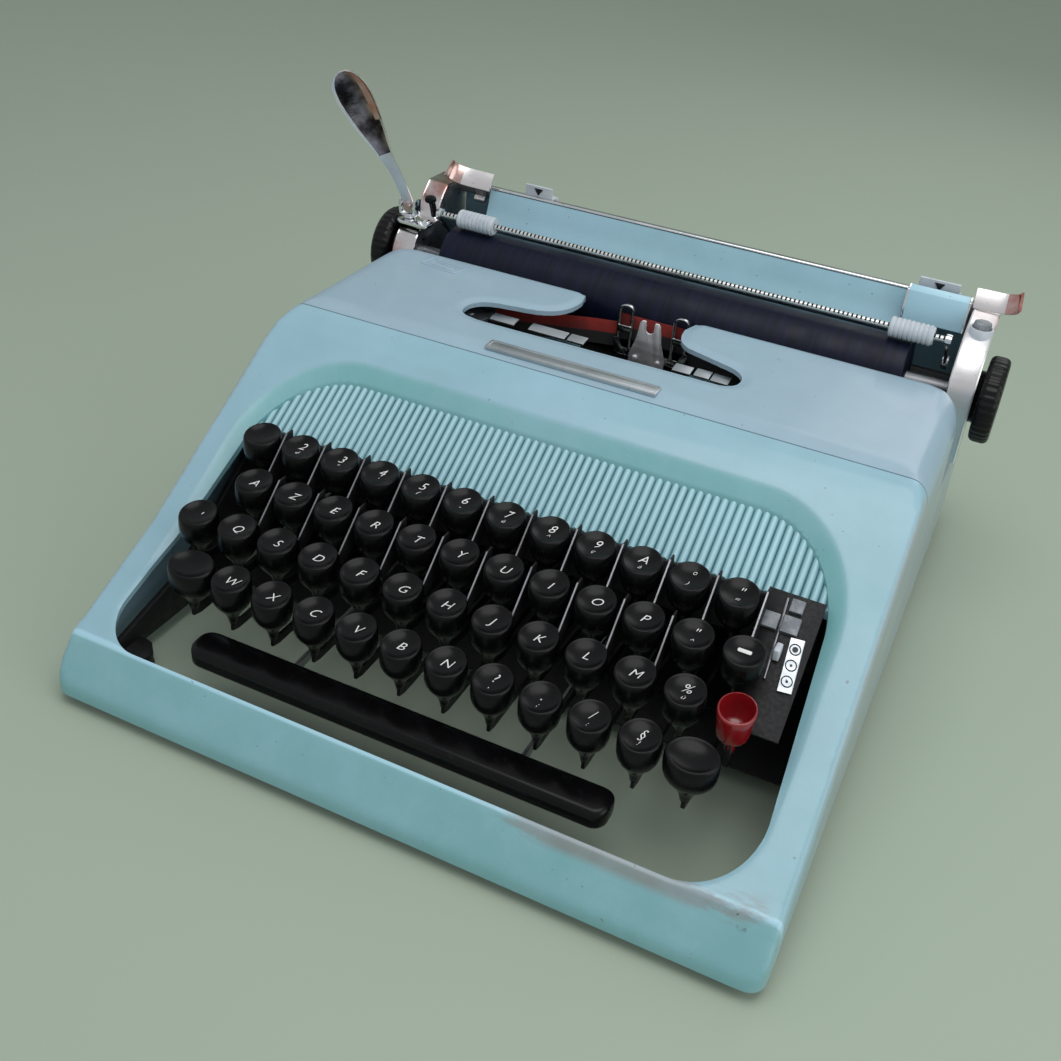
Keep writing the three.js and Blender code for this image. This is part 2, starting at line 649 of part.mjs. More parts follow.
function ribbonRun(side) {
  const tangent = new THREE.Vector2(SPOOL_X - 13, SPOOL_Y + ROLL_RADIUS + 2);
  const guide = new THREE.Vector2(VIBRATOR_REACH + 1.4, MIDDLE_Y + 0.9);
  const along = guide.clone().sub(tangent).normalize();
  const across = new THREE.Vector2(-along.y, along.x).multiplyScalar(RIBBON_THICKNESS / 2);
  const corners = [tangent.clone().add(across), guide.clone().add(across),
    guide.clone().sub(across), tangent.clone().sub(across)];
  const shape = shapeOf(corners.map((corner) => [side * corner.x, corner.y]));
  return alongZ(shape, RIBBON_Z, RIBBON_Z + RIBBON_HEIGHT);
}

piece("ribbon_left", ribbonRun(-1), RIBBON_CLOTH);
piece("ribbon_right", ribbonRun(1), RIBBON_CLOTH);
piece("ribbon_middle", block(
  [-VIBRATOR_REACH, MIDDLE_Y, MIDDLE_Z],
  [VIBRATOR_REACH, MIDDLE_Y + RIBBON_THICKNESS, MIDDLE_Z + RIBBON_HEIGHT]), RIBBON_CLOTH);

// ---------------------------------------------------------------- carriage

function rail(y0) {
  return block([-CARRIAGE_HALF, y0, TAIL_HEIGHT + GAP], [CARRIAGE_HALF, y0 + RAIL_WIDTH, RAIL_TOP]);
}

piece("carriage_rail_front", rail(CARRIAGE_FRONT + 3), STEEL);
piece("carriage_rail_rear", rail(CARRIAGE_REAR - 12), STEEL);

// The carriage's floor rides over both rails.
function carriageFrame() {
  const width = CARRIAGE_HALF - GAP;
  const floor = block(
    [-width, CARRIAGE_FRONT + 2, CARRIAGE_FLOOR], [width, CARRIAGE_REAR - 3, CARRIAGE_FLOOR + 3]);
  const trough = alongX([
    [CARRIAGE_FRONT + 6, CARRIAGE_FLOOR + 2], [CARRIAGE_REAR - 12, CARRIAGE_FLOOR + 2],
    [CARRIAGE_REAR - 14, CARRIAGE_FLOOR + 22], [CARRIAGE_REAR - 17, CARRIAGE_FLOOR + 22],
    [CARRIAGE_REAR - 22, CARRIAGE_FLOOR + 6], [CARRIAGE_FRONT + 6, CARRIAGE_FLOOR + 4],
  ], -width, width);
  return floor.add(trough);
}

piece("carriage_frame", carriageFrame(), BLACK_ENAMEL);
piece("carriage_back", bandX([
  [CARRIAGE_REAR - 2, CARRIAGE_FLOOR], [CARRIAGE_REAR - 2, CARRIAGE_TOP - 9],
  [CARRIAGE_REAR - 4, CARRIAGE_TOP - 5],
], 1.4, -CARRIAGE_HALF + GAP, CARRIAGE_HALF - GAP), BLUE_PAINT);

// Each end plate is a web with a wide polished band round its front and top.  The left one
// is lower at its front, where the return lever stands.
const BAND_FRONT = CARRIAGE_FRONT + 1;
const BAND_FOOT = [[BAND_FRONT, CARRIAGE_FLOOR], [BAND_FRONT, CARRIAGE_TOP - 32]];
const BAND_REAR = [PLATEN_Y + 21, CARRIAGE_TOP];
const RIGHT_BAND = [...BAND_FOOT, [BAND_FRONT + 3, CARRIAGE_TOP - 19],
  [BAND_FRONT + 11, CARRIAGE_TOP - 9], [PLATEN_Y + 7, CARRIAGE_TOP - 3], BAND_REAR];
const LEFT_BAND = [...BAND_FOOT, [BAND_FRONT + 3, CARRIAGE_TOP - 23],
  [BAND_FRONT + 9, CARRIAGE_TOP - 17.5], [PLATEN_Y + 7, CARRIAGE_TOP - 16],
  [PLATEN_Y + 15, CARRIAGE_TOP - 6], BAND_REAR];

function endPlate(side, path) {
  const webLow = Math.min(side * CARRIAGE_HALF, side * CARRIAGE_WIDTH);
  const web = alongX([...path, [CARRIAGE_REAR - 6, CARRIAGE_TOP], [CARRIAGE_REAR, CARRIAGE_TOP - 7],
    [CARRIAGE_REAR, CARRIAGE_FLOOR]].reverse(), webLow, webLow + END_PLATE);
  const bandLow = Math.min(side * CARRIAGE_HALF, side * (CARRIAGE_HALF + FLANGE));
  const band = bandX(path, 2, bandLow, bandLow + FLANGE);
  const bore = rodX(SHAFT_RADIUS + RUN, webLow - 5, webLow + 7, PLATEN_Y, PLATEN_Z, 16);
  return web.add(band).subtract(bore);
}

// The push button stands in a hole in the right band.
const BUTTON_X = CARRIAGE_HALF + 6.5;
const BUTTON_Y = PLATEN_Y + 6;
const BUTTON_RADIUS = 4.2;
const BUTTON_TOP = CARRIAGE_TOP + 3;
const buttonHole = rodZ(
  BUTTON_RADIUS + RUN, CARRIAGE_TOP - 20, CARRIAGE_TOP + 20, BUTTON_X, BUTTON_Y, 12);

piece("carriage_end_left", endPlate(-1, LEFT_BAND), CHROME);
piece("carriage_end_right", endPlate(1, RIGHT_BAND).subtract(buttonHole), CHROME);
piece("end_button", rodZ(
  BUTTON_RADIUS, BUTTON_TOP - 10.5, BUTTON_TOP, BUTTON_X, BUTTON_Y, 8), PALE_PLASTIC);

function platen() {
  const roller = rodX(PLATEN_RADIUS, PLATEN_LEFT, PLATEN_RIGHT, PLATEN_Y, PLATEN_Z, 32);
  const bore = rodX(SHAFT_RADIUS + GAP, PLATEN_LEFT - 5, PLATEN_RIGHT + 5, PLATEN_Y, PLATEN_Z, 12);
  return roller.subtract(bore);
}

piece("platen", platen(), RUBBER);
piece("platen_shaft", rodX(
  SHAFT_RADIUS, -KNOB_OUTER_X + 3, KNOB_OUTER_X - 3, PLATEN_Y, PLATEN_Z, 12), STEEL);

function knob(side) {
  const outer = side * KNOB_OUTER_X;
  const inner = side * (KNOB_OUTER_X - KNOB_THICKNESS);
  const hubEnd = side * (CARRIAGE_WIDTH + RUN);
  const disc = rodX(
    KNOB_RADIUS, Math.min(outer, inner), Math.max(outer, inner), PLATEN_Y, PLATEN_Z, 24);
  const hub = rodX(
    HUB_RADIUS, Math.min(hubEnd, inner), Math.max(hubEnd, inner), PLATEN_Y, PLATEN_Z, 16);
  const socketEnd = side * (KNOB_OUTER_X - 3 + GAP);
  const socket = rodX(SHAFT_RADIUS + GAP,
    Math.min(socketEnd, side * 100), Math.max(socketEnd, side * 100), PLATEN_Y, PLATEN_Z, 12);
  return disc.add(hub).subtract(socket);
}

piece("platen_knob_left", knob(-1), BLACK_PLASTIC);
piece("platen_knob_right", knob(1), BLACK_PLASTIC);

piece("paper_table", bandX(
  [TABLE_LOW, TABLE_HIGH], TABLE_THICKNESS, TABLE_LEFT, TABLE_RIGHT), BLUE_PAINT);

// A raised cover hides the right end of the paper table.
function tableEndCover() {
  const forward = 3.2;
  return bandX([
    [TABLE_LOW[0] - forward - 2, TABLE_LOW[1] + 8], [TABLE_HIGH[0] - forward, TABLE_HIGH[1] + 3],
  ], 1.5, PLATEN_RIGHT - 11, CARRIAGE_HALF - 1.5);
}

piece("table_end_cover", tableEndCover(), BLUE_PAINT);

const MARGIN_RAIL_Y = CARRIAGE_REAR - 8.5;
const MARGIN_RAIL_Z = CARRIAGE_TOP - 4;
const MARGIN_RAIL_HALF = 2.5;
piece("margin_rail", block(
  [-CARRIAGE_HALF + GAP, MARGIN_RAIL_Y - MARGIN_RAIL_HALF, MARGIN_RAIL_Z - MARGIN_RAIL_HALF],
  [CARRIAGE_HALF - GAP, MARGIN_RAIL_Y + MARGIN_RAIL_HALF, MARGIN_RAIL_Z + MARGIN_RAIL_HALF]), STEEL);

// A margin stop wraps the rail on three sides and carries an upright tag.
function marginStop(x, halfWidth) {
  const space = MARGIN_RAIL_HALF + 0.5;
  const y0 = MARGIN_RAIL_Y - space - 0.9;
  const top = MARGIN_RAIL_Z + space;
  const bridge = block([x - halfWidth, y0, top], [x + halfWidth, MARGIN_RAIL_Y + space, top + 1.2]);
  const front = block([x - 4, y0, MARGIN_RAIL_Z - 3], [x + 4, y0 + 0.9, top + 1.2]);
  const tag = block([x - halfWidth, y0, top], [x + halfWidth, y0 + 0.9, top + 7.5]);
  return union([bridge, front, tag]);
}

const MARGIN_LEFT_X = TABLE_LEFT + 27;
const MARGIN_RIGHT_X = TABLE_RIGHT;
piece("margin_stop_left", marginStop(MARGIN_LEFT_X, 8), PALE_PLASTIC);
piece("margin_stop_right", marginStop(MARGIN_RIGHT_X, 10), PALE_PLASTIC);

// The bail rod hangs on two arms outside the ends of the platen.
function paperBail() {
  const parts = [rodX(BAIL_RADIUS, BAIL_ARMS[0], BAIL_ARMS[1], BAIL_Y, BAIL_Z, 10)];
  for (const x of BAIL_ARMS) {
    parts.push(bandX([[BAIL_Y, BAIL_Z], [BAIL_PIVOT_Y, BAIL_PIVOT_Z]], 5, x - 1, x + 1));
    parts.push(rodX(4, x - 1, x + 1, BAIL_PIVOT_Y, BAIL_PIVOT_Z, 12));
  }
  return union(parts);
}

piece("paper_bail", paperBail(), CHROME);

function bailRoller(x) {
  const half = ROLLER_LENGTH / 2;
  const roller = rodX(ROLLER_RADIUS, x - half, x + half, BAIL_Y, BAIL_Z, 16);
  return roller.subtract(rodX(BAIL_RADIUS + GAP, x - half - 1, x + half + 1, BAIL_Y, BAIL_Z, 10));
}

piece("bail_roller_left", bailRoller(ROLLER_CENTRES[0]), PALE_PLASTIC);
piece("bail_roller_right", bailRoller(ROLLER_CENTRES[1]), PALE_PLASTIC);

// ---------------------------------------------------------------- levers at the carriage's ends

const RELEASE_PIVOT = [CARRIAGE_REAR - 12, CARRIAGE_TOP - 9];

// A release lever rises behind the end band and carries a curled tab that runs along X.
function releaseLever(footX, tabX0, tabX1) {
  const [y, z] = RELEASE_PIVOT;
  const foot = bandX([RELEASE_PIVOT, [y - 5, z + 11], [y - 9, z + 15]], 1.6, footX, footX + 4.5);
  const tab = bandX([[y - 3.5, z + 12.5], [y - 11, z + 16.5], [y - 15, z + 20]], 1.6, tabX0, tabX1);
  return foot.add(tab);
}

const RELEASE_RIGHT_X = CARRIAGE_WIDTH + RUN;
const RELEASE_LEFT_X = -CARRIAGE_HALF + RUN;
piece("carriage_release_left", releaseLever(
  RELEASE_LEFT_X, RELEASE_LEFT_X, TABLE_LEFT - RUN), CHROME);
piece("carriage_release_right", releaseLever(
  RELEASE_RIGHT_X, RELEASE_RIGHT_X, RELEASE_RIGHT_X + 16.5), CHROME);

const SPACING_X = -CARRIAGE_HALF + 3.4;
const SPACING_PIVOT = [PLATEN_Y + 1, CARRIAGE_TOP - 10.8];
piece("line_space_lever", bar(
  [SPACING_X, ...SPACING_PIVOT], [SPACING_X - 0.4, SPACING_PIVOT[0] - 4, SPACING_PIVOT[1] + 11],
  1.8), BLACK_PLASTIC);

// The return lever: a turning clevis on the carriage's left end holds an arm that ends in a spoon.
const RETURN_X = -CARRIAGE_HALF - 8.5;
const RETURN_Y = PLATEN_Y - 4;
const RETURN_Z = CARRIAGE_TOP - 7;
const BRACKET_Z = CARRIAGE_TOP - 14.6;
const CLEVIS_HALF = 4.8;

piece("return_lever_bracket", block(
  [RETURN_X - 5, RETURN_Y - 7, BRACKET_Z], [RETURN_X + 14, RETURN_Y + 7, BRACKET_Z + 1.6]), CHROME);

function returnClevis() {
  const foot = BRACKET_Z + 1.6 + GAP;
  const post = rodZ(3, foot, RETURN_Z - 3.4, RETURN_X, RETURN_Y, 10);
  const bridge = block(
    [RETURN_X - CLEVIS_HALF, RETURN_Y - 3, RETURN_Z - 4.4],
    [RETURN_X + CLEVIS_HALF, RETURN_Y + 3, RETURN_Z - 3.2]);
  const ears = [-CLEVIS_HALF, CLEVIS_HALF - 1.2].map((offset) => block(
    [RETURN_X + offset, RETURN_Y - 3, RETURN_Z - 4.4],
    [RETURN_X + offset + 1.2, RETURN_Y + 3, RETURN_Z + 4]));
  return union([post, bridge, ...ears]);
}

piece("return_lever_clevis", returnClevis(), CHROME);

const ARM_POINTS = [[RETURN_X, RETURN_Y, RETURN_Z], [RETURN_X - 3, RETURN_Y - 5, RETURN_Z + 14],
  [RETURN_X - 9, RETURN_Y - 13, RETURN_Z + 32]];
const SPOON_TIP = [RETURN_X - 22, RETURN_Y - 30, RETURN_Z + 68];

function returnArm() {
  const parts = [bar(ARM_POINTS[0], ARM_POINTS[1], 2.1), bar(ARM_POINTS[1], ARM_POINTS[2], 2.6)];
  const spoonFoot = new THREE.Vector3(...ARM_POINTS[2]);
  const spoonTip = new THREE.Vector3(...SPOON_TIP);
  const centre = spoonFoot.clone().add(spoonTip).multiplyScalar(0.5);
  const along = spoonTip.sub(spoonFoot);
  const spoon = new THREE.SphereGeometry(0.5, 12, 8);
  spoon.scale(17, 5, along.length() + 8);
  const facing = new THREE.Quaternion().setFromUnitVectors(
    new THREE.Vector3(0, 0, 1), along.clone().normalize());
  spoon.applyQuaternion(facing);
  spoon.translate(centre.x, centre.y, centre.z);
  parts.push(solid(spoon));
  return union(parts);
}

piece("return_lever", returnArm(), CHROME);

// ---------------------------------------------------------------- origin

const bounds = new THREE.Box3().setFromObject(machine);
const middle = bounds.getCenter(new THREE.Vector3());
machine.position.set(-middle.x, -middle.y, -bounds.min.z);
machine.updateMatrixWorld(true);

export default machine;
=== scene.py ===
"""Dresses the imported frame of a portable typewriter: housing, keys, ribbon, carriage and stage.

Lengths in the code are millimetres from the printing point's plane, the ribbon cover's seam and
the housing's lower edge, and at() turns them into the frame's metres.
"""

import math

import bmesh
import bpy
import numpy as np
from mathutils import Matrix, Vector


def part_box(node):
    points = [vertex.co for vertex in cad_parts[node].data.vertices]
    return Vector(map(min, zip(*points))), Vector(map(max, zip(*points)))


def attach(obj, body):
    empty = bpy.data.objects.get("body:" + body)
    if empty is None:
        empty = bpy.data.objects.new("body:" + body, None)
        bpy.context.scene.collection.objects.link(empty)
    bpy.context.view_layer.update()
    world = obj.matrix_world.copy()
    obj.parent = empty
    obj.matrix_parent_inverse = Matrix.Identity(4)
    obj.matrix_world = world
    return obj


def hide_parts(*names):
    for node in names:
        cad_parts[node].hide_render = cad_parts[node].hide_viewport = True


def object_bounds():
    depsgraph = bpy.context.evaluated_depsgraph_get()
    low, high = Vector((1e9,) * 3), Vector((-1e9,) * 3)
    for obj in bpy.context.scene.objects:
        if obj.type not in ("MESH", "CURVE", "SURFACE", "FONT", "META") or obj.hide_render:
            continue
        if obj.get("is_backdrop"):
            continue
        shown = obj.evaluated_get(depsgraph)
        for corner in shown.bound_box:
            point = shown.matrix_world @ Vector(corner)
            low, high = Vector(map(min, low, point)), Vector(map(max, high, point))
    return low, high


bl_info = {
    "name": "Portable Typewriter",
    "version": (1, 0, 0),
    "blender": (4, 5, 0),
    "location": "View3D > Sidebar > Typewriter",
    "description": "Builds the pieces of a portable typewriter around its frame",
    "category": "Add Mesh",
}

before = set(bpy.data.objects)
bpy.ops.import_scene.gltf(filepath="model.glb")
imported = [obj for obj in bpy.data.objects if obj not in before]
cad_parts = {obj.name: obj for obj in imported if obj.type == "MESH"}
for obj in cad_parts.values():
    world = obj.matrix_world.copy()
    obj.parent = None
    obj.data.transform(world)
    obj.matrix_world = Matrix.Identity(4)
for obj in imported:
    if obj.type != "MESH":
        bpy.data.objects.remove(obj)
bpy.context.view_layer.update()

MM = 0.001
SEAM_SLOT = 0.6
SHELL_LOW, SHELL_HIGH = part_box("body_shell")
COVER_LOW, COVER_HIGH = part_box("ribbon_cover")
ORIGIN = Vector(((SHELL_LOW.x + SHELL_HIGH.x) / 2, COVER_LOW.y - SEAM_SLOT * MM, SHELL_LOW.z))


def at(x, y, z):
    """A point in the frame from millimetres."""
    return ORIGIN + Vector((x, y, z)) * MM


def box_mm(node):
    """A node's lowest and highest corners in millimetres."""
    low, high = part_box(node)
    return (low - ORIGIN) / MM, (high - ORIGIN) / MM


HALF_BODY = box_mm("body_shell")[1].x
BODY_FRONT = box_mm("body_shell")[0].y
BODY_REAR = box_mm("body_shell")[1].y
DECK_HEIGHT = box_mm("ribbon_cover")[1].z
DECK_REAR = box_mm("ribbon_cover")[1].y
COVER_EDGE = box_mm("ribbon_cover")[0].z
TAIL_HEIGHT = box_mm("carriage_rail_front")[0].z - 0.3
PANEL_LOW, PANEL_HIGH = box_mm("ribbed_panel")
WELL_HALF = PANEL_HIGH.x + 1.5
WELL_REAR = PANEL_HIGH.y + 1
WELL_FRONT = -150
CREST_LEFT = -WELL_HALF - 7.5
CREST_RIGHT = WELL_HALF + 4.5
CREST_FRONT = WELL_FRONT - 1.5
CREASE = -151.6
CREST_LEFT_RADIUS = 18
CREST_RIGHT_RADIUS = 27
CREST_REAR_RADIUS = 44


# ------------------------------------------------------------------ sizes and colours


class TypewriterHousing(bpy.types.PropertyGroup):
    """Sizes of the pressed housing."""

    sheet: bpy.props.FloatProperty(
        name="Sheet", description="Thickness of the pressed sheet", default=0.0022, unit="LENGTH")
    softness: bpy.props.IntProperty(
        name="Softness", description="How far the outer edges are rounded", default=8, min=4)
    rim_width: bpy.props.FloatProperty(
        name="Rim width", description="Width of the rim that slopes into the keyboard opening",
        default=0.0046, unit="LENGTH")
    rim_drop: bpy.props.FloatProperty(
        name="Rim drop", description="Depth of that rim", default=0.0042, unit="LENGTH")
    ribs: bpy.props.IntProperty(
        name="Ribs", description="Number of ribs on the panel above the keys", default=75)
    rib_height: bpy.props.FloatProperty(
        name="Rib height", description="Height of a rib", default=0.0016, unit="LENGTH")


class TypewriterKeys(bpy.types.PropertyGroup):
    """Sizes of the keys."""

    cap_radius: bpy.props.FloatProperty(
        name="Cap radius", description="Radius of a key top", default=0.0078, unit="LENGTH")
    dish: bpy.props.FloatProperty(
        name="Dish", description="Depth of the hollow in a key top", default=0.0016, unit="LENGTH")
    legend: bpy.props.FloatProperty(
        name="Legend", description="Height of a letter on a key", default=0.0052, unit="LENGTH")


class TypewriterColours(bpy.types.PropertyGroup):
    """Colours of the finishes."""

    paint: bpy.props.FloatVectorProperty(
        name="Paint", description="Main colour of the housing", subtype="COLOR",
        default=(0.32, 0.52, 0.62))
    deck: bpy.props.FloatVectorProperty(
        name="Deck", description="Colour of the ribbon cover", subtype="COLOR",
        default=(0.33, 0.46, 0.55))
    # Teal is a real second tone in the paint and also the colour of its painted shade on the front wall
    # and round the keyboard opening.
    teal: bpy.props.FloatVectorProperty(
        name="Shade", description="Greener shade in the paint", subtype="COLOR",
        default=(0.17, 0.42, 0.43))
    key: bpy.props.FloatVectorProperty(
        name="Keys", description="Colour of the keys", subtype="COLOR",
        default=(0.0022, 0.0022, 0.0026))
    tab: bpy.props.FloatVectorProperty(
        name="Tab key", description="Colour of the tabulator key", subtype="COLOR",
        default=(0.2, 0.006, 0.009))
    legend: bpy.props.FloatVectorProperty(
        name="Legends", description="Colour of the letters", subtype="COLOR",
        default=(0.85, 0.85, 0.83))
    platen: bpy.props.FloatVectorProperty(
        name="Platen", description="Colour of the roller's rubber", subtype="COLOR",
        default=(0.002, 0.0035, 0.012))
    ribbon: bpy.props.FloatVectorProperty(
        name="Ribbon", description="Colour of the ribbon's upper half", subtype="COLOR",
        default=(0.33, 0.02, 0.012))
    floor: bpy.props.FloatVectorProperty(
        name="Floor", description="Colour of the floor", subtype="COLOR",
        default=(0.39, 0.465, 0.37))


class TypewriterStage(bpy.types.PropertyGroup):
    """Strength of the studio lights."""

    key_light: bpy.props.FloatProperty(
        name="Key light", description="Power of the main light in watts", default=3.6)
    fill_light: bpy.props.FloatProperty(
        name="Fill light", description="Power of the other lights in watts", default=1.6)
    sky: bpy.props.FloatProperty(
        name="Surroundings", description="Brightness of the surroundings", default=0.5)


# ------------------------------------------------------------------ finishes


class Finish:
    """A material that is put together node by node."""

    def __init__(self, name, **values):
        self.material = bpy.data.materials.new(name)
        self.material.use_nodes = True
        self.tree = self.material.node_tree
        self.tree.nodes.clear()
        self.shader = self.node("ShaderNodeBsdfPrincipled")
        output = self.node("ShaderNodeOutputMaterial")
        self.link(self.shader.outputs["BSDF"], output.inputs["Surface"])
        self.place = self.node("ShaderNodeTexCoord").outputs["Object"]
        for key, value in values.items():
            self.shader.inputs[key.replace("_", " ")].default_value = value

    def node(self, kind):
        return self.tree.nodes.new(kind)

    def link(self, source, target):
        self.tree.links.new(source, target)

    def give(self, socket, value):
        """Sets a socket, or links it when value is another node's output."""
        if isinstance(value, bpy.types.NodeSocket):
            self.link(value, socket)
        else:
            socket.default_value = value

    def noise(self, scale, detail=3.0, roughness=0.5, stretch=None):
        texture = self.node("ShaderNodeTexNoise")
        texture.inputs["Scale"].default_value = scale
        texture.inputs["Detail"].default_value = detail
        texture.inputs["Roughness"].default_value = roughness
        place = self.place
        if stretch:
            mapping = self.node("ShaderNodeMapping")
            mapping.inputs["Scale"].default_value = stretch
            self.link(self.place, mapping.inputs["Vector"])
            place = mapping.outputs["Vector"]
        self.link(place, texture.inputs["Vector"])
        return texture.outputs["Fac"]

    def along(self, axis):
        split = self.node("ShaderNodeSeparateXYZ")
        self.link(self.place, split.inputs["Vector"])
        return split.outputs[axis]

    def calc(self, kind, first, second=0.0, third=0.0):
        node = self.node("ShaderNodeMath")
        node.operation = kind
        for socket, value in zip(node.inputs, (first, second, third)):
            self.give(socket, value)
        return node.outputs[0]

    def span(self, value, low, high, out_low=0.0, out_high=1.0):
        """Maps value from low..high to another range, smoothly and clamped."""
        node = self.node("ShaderNodeMapRange")
        node.interpolation_type = "SMOOTHSTEP"
        for socket, given in zip(node.inputs, (value, low, high, out_low, out_high)):
            self.give(socket, given)
        return node.outputs[0]

    def mix(self, share, first, second):
        node = self.node("ShaderNodeMix")
        node.data_type = "RGBA"
        self.give(node.inputs[0], share)
        for socket, value in ((node.inputs[6], first), (node.inputs[7], second)):
            self.give(socket, value if isinstance(value, bpy.types.NodeSocket) else rgba(value))
        return node.outputs[2]

    def colour(self, value):
        self.link(value, self.shader.inputs["Base Color"])

    def rough(self, value):
        self.link(value, self.shader.inputs["Roughness"])

    def bump(self, height, strength, distance):
        node = self.node("ShaderNodeBump")
        node.inputs["Strength"].default_value = strength
        node.inputs["Distance"].default_value = distance
        self.link(height, node.inputs["Height"])
        self.link(node.outputs["Normal"], self.shader.inputs["Normal"])


def rgba(colour):
    return (colour[0], colour[1], colour[2], 1.0)


def shade(colour, factor):
    return tuple(min(channel * factor, 1.0) for channel in colour)


FINISHES = {}


def paint_finish(name, base, teal, front_marks_and_painted_light):
    """Stove enamel: two shades in wide soft fields, faint orange peel, chips and scuffs; on the housing
    also painted shade, a painted highlight and a painted floor reflection.
    """
    finish = Finish(name, IOR=1.5, Coat_Weight=0.35, Coat_Roughness=0.12)
    fields = finish.span(finish.noise(7.0, 3.0), 0.35, 0.7)
    fine = finish.noise(60.0, 4.0, 0.6)
    tone = finish.mix(finish.calc("MULTIPLY", fields, 0.45), base, teal)
    if front_marks_and_painted_light:
        depth = finish.along("Y")
        height = finish.along("Z")
        # Painted shade: the front wall below the crease is mixed towards the teal.
        wall = finish.span(depth, at(0, CREASE + 1, 0).y, at(0, CREASE - 1, 0).y)
        tone = finish.mix(finish.calc("MULTIPLY", wall, 0.7), tone, teal)
        # Painted highlight and edge wear: a lighter line along the crisp front crease.
        crease_highlight = finish.calc(
            "MULTIPLY", finish.span(depth, at(0, CREASE - 1, 0).y, at(0, CREASE, 0).y),
            finish.span(depth, at(0, CREASE + 2.2, 0).y, at(0, CREASE + 1, 0).y))
        tone = finish.mix(finish.calc("MULTIPLY", crease_highlight, 0.6), tone, shade(base, 1.6))
        # Painted reflection: the side walls are mixed towards grey, the floor they mirror, more towards
        # the rear.
        side_floor_reflection = finish.span(finish.calc("ABSOLUTE", finish.calc("SUBTRACT", finish.along("X"),
                                                                at(0, 0, 0).x)),
                            (HALF_BODY - 2.5) * MM, (HALF_BODY - 0.4) * MM)
        side_floor_reflection = finish.calc("MULTIPLY", side_floor_reflection, finish.span(
            depth, at(0, -150, 0).y, at(0, -60, 0).y, 0.2, 0.8))
        tone = finish.mix(side_floor_reflection, tone, (0.36, 0.39, 0.40))
        rim = finish.calc("MULTIPLY",
                          finish.span(depth, at(0, -143, 0).y, at(0, -149, 0).y),
                          finish.span(height, at(0, 0, 15).z, at(0, 0, 18).z))
        rim = finish.calc("MULTIPLY", rim, finish.span(
            finish.along("X"), at(20, 0, 0).x, at(60, 0, 0).x))
        scuff = finish.calc("MULTIPLY", rim, finish.span(
            finish.noise(26.0, 6.0, 0.7, (0.35, 1.6, 1.0)), 0.5, 0.6))
        tone = finish.mix(finish.calc("MULTIPLY", scuff, 0.7), tone, (0.24, 0.20, 0.18))
        reach = finish.along("X")
        corner = finish.calc("MULTIPLY", finish.span(reach, at(96, 0, 0).x, at(118, 0, 0).x), rim)
        chips = finish.calc("MULTIPLY", corner, finish.span(finish.noise(140.0, 2.0), 0.66, 0.68))
        tone = finish.mix(chips, tone, (0.03, 0.025, 0.02))
        # Painted shade: the band round the keyboard opening's inner rim is mixed towards a teal, broken
        # up by noise.
        rim_shade_band = finish.node("ShaderNodeAttribute")
        rim_shade_band.attribute_name = "rim"
        tone = finish.mix(finish.calc("MULTIPLY", rim_shade_band.outputs["Fac"], finish.span(
            finish.noise(12.0, 4.0), 0.25, 0.65, 0.55, 0.95)), tone, shade(teal, 1.15))
    tone = finish.mix(finish.span(fine, 0.3, 0.8, 0.0, 0.16), tone, shade(base, 1.35))
    specks = finish.span(finish.noise(420.0, 1.0), 0.77, 0.8)
    finish.colour(finish.mix(finish.calc("MULTIPLY", specks, 0.5), tone, (0.12, 0.11, 0.10)))
    finish.rough(finish.span(finish.noise(22.0, 5.0, 0.6), 0.3, 0.7, 0.3, 0.46))
    finish.bump(finish.noise(900.0, 2.0), 0.12, 0.0004)
    return finish.material


def rib_finish(base, groove):
    """The ribbed panel: the same enamel, with painted shade in the grooves, broken up by noise."""
    finish = Finish("rib_enamel", IOR=1.5, Coat_Weight=0.3, Coat_Roughness=0.15)
    depth = finish.node("ShaderNodeAttribute")
    depth.attribute_name = "groove"
    # Painted shade: the grooves are darkened by how deep a point lies in them.
    painted_groove_shade = finish.calc("MULTIPLY", depth.outputs["Fac"], finish.span(
        finish.noise(30.0, 4.0), 0.2, 0.7, 0.75, 1.0))
    tone = finish.mix(finish.span(finish.noise(9.0), 0.35, 0.7, 0.0, 0.5), base, shade(base, 1.25))
    finish.colour(finish.mix(painted_groove_shade, tone, groove))
    finish.rough(finish.span(finish.noise(40.0, 4.0), 0.3, 0.7, 0.32, 0.5))
    finish.bump(finish.noise(900.0, 2.0), 0.1, 0.0004)
    return finish.material


def plastic_finish(name, base, rough_low, rough_high, dust=0.02, coat=0.3):
    """Moulded plastic with handling marks, fine scratches and a little dust."""
    finish = Finish(name, IOR=1.3 if coat < 0.2 else 1.5, Coat_Weight=coat, Coat_Roughness=0.08)
    smears = finish.noise(55.0, 5.0, 0.65)
    dusty = finish.calc("MULTIPLY", finish.span(finish.noise(300.0, 3.0, 0.7), 0.55, 0.8), dust)
    tone = finish.mix(finish.span(smears, 0.3, 0.75, 0.0, 0.6), base, shade(base, 1.7))
    finish.colour(finish.mix(dusty, tone, (0.5, 0.5, 0.5)))
    finish.rough(finish.span(smears, 0.3, 0.7, rough_low, rough_high))
    finish.bump(finish.noise(500.0, 3.0, 0.6, (1.0, 4.0, 1.0)), 0.05, 0.0003)
    return finish.material


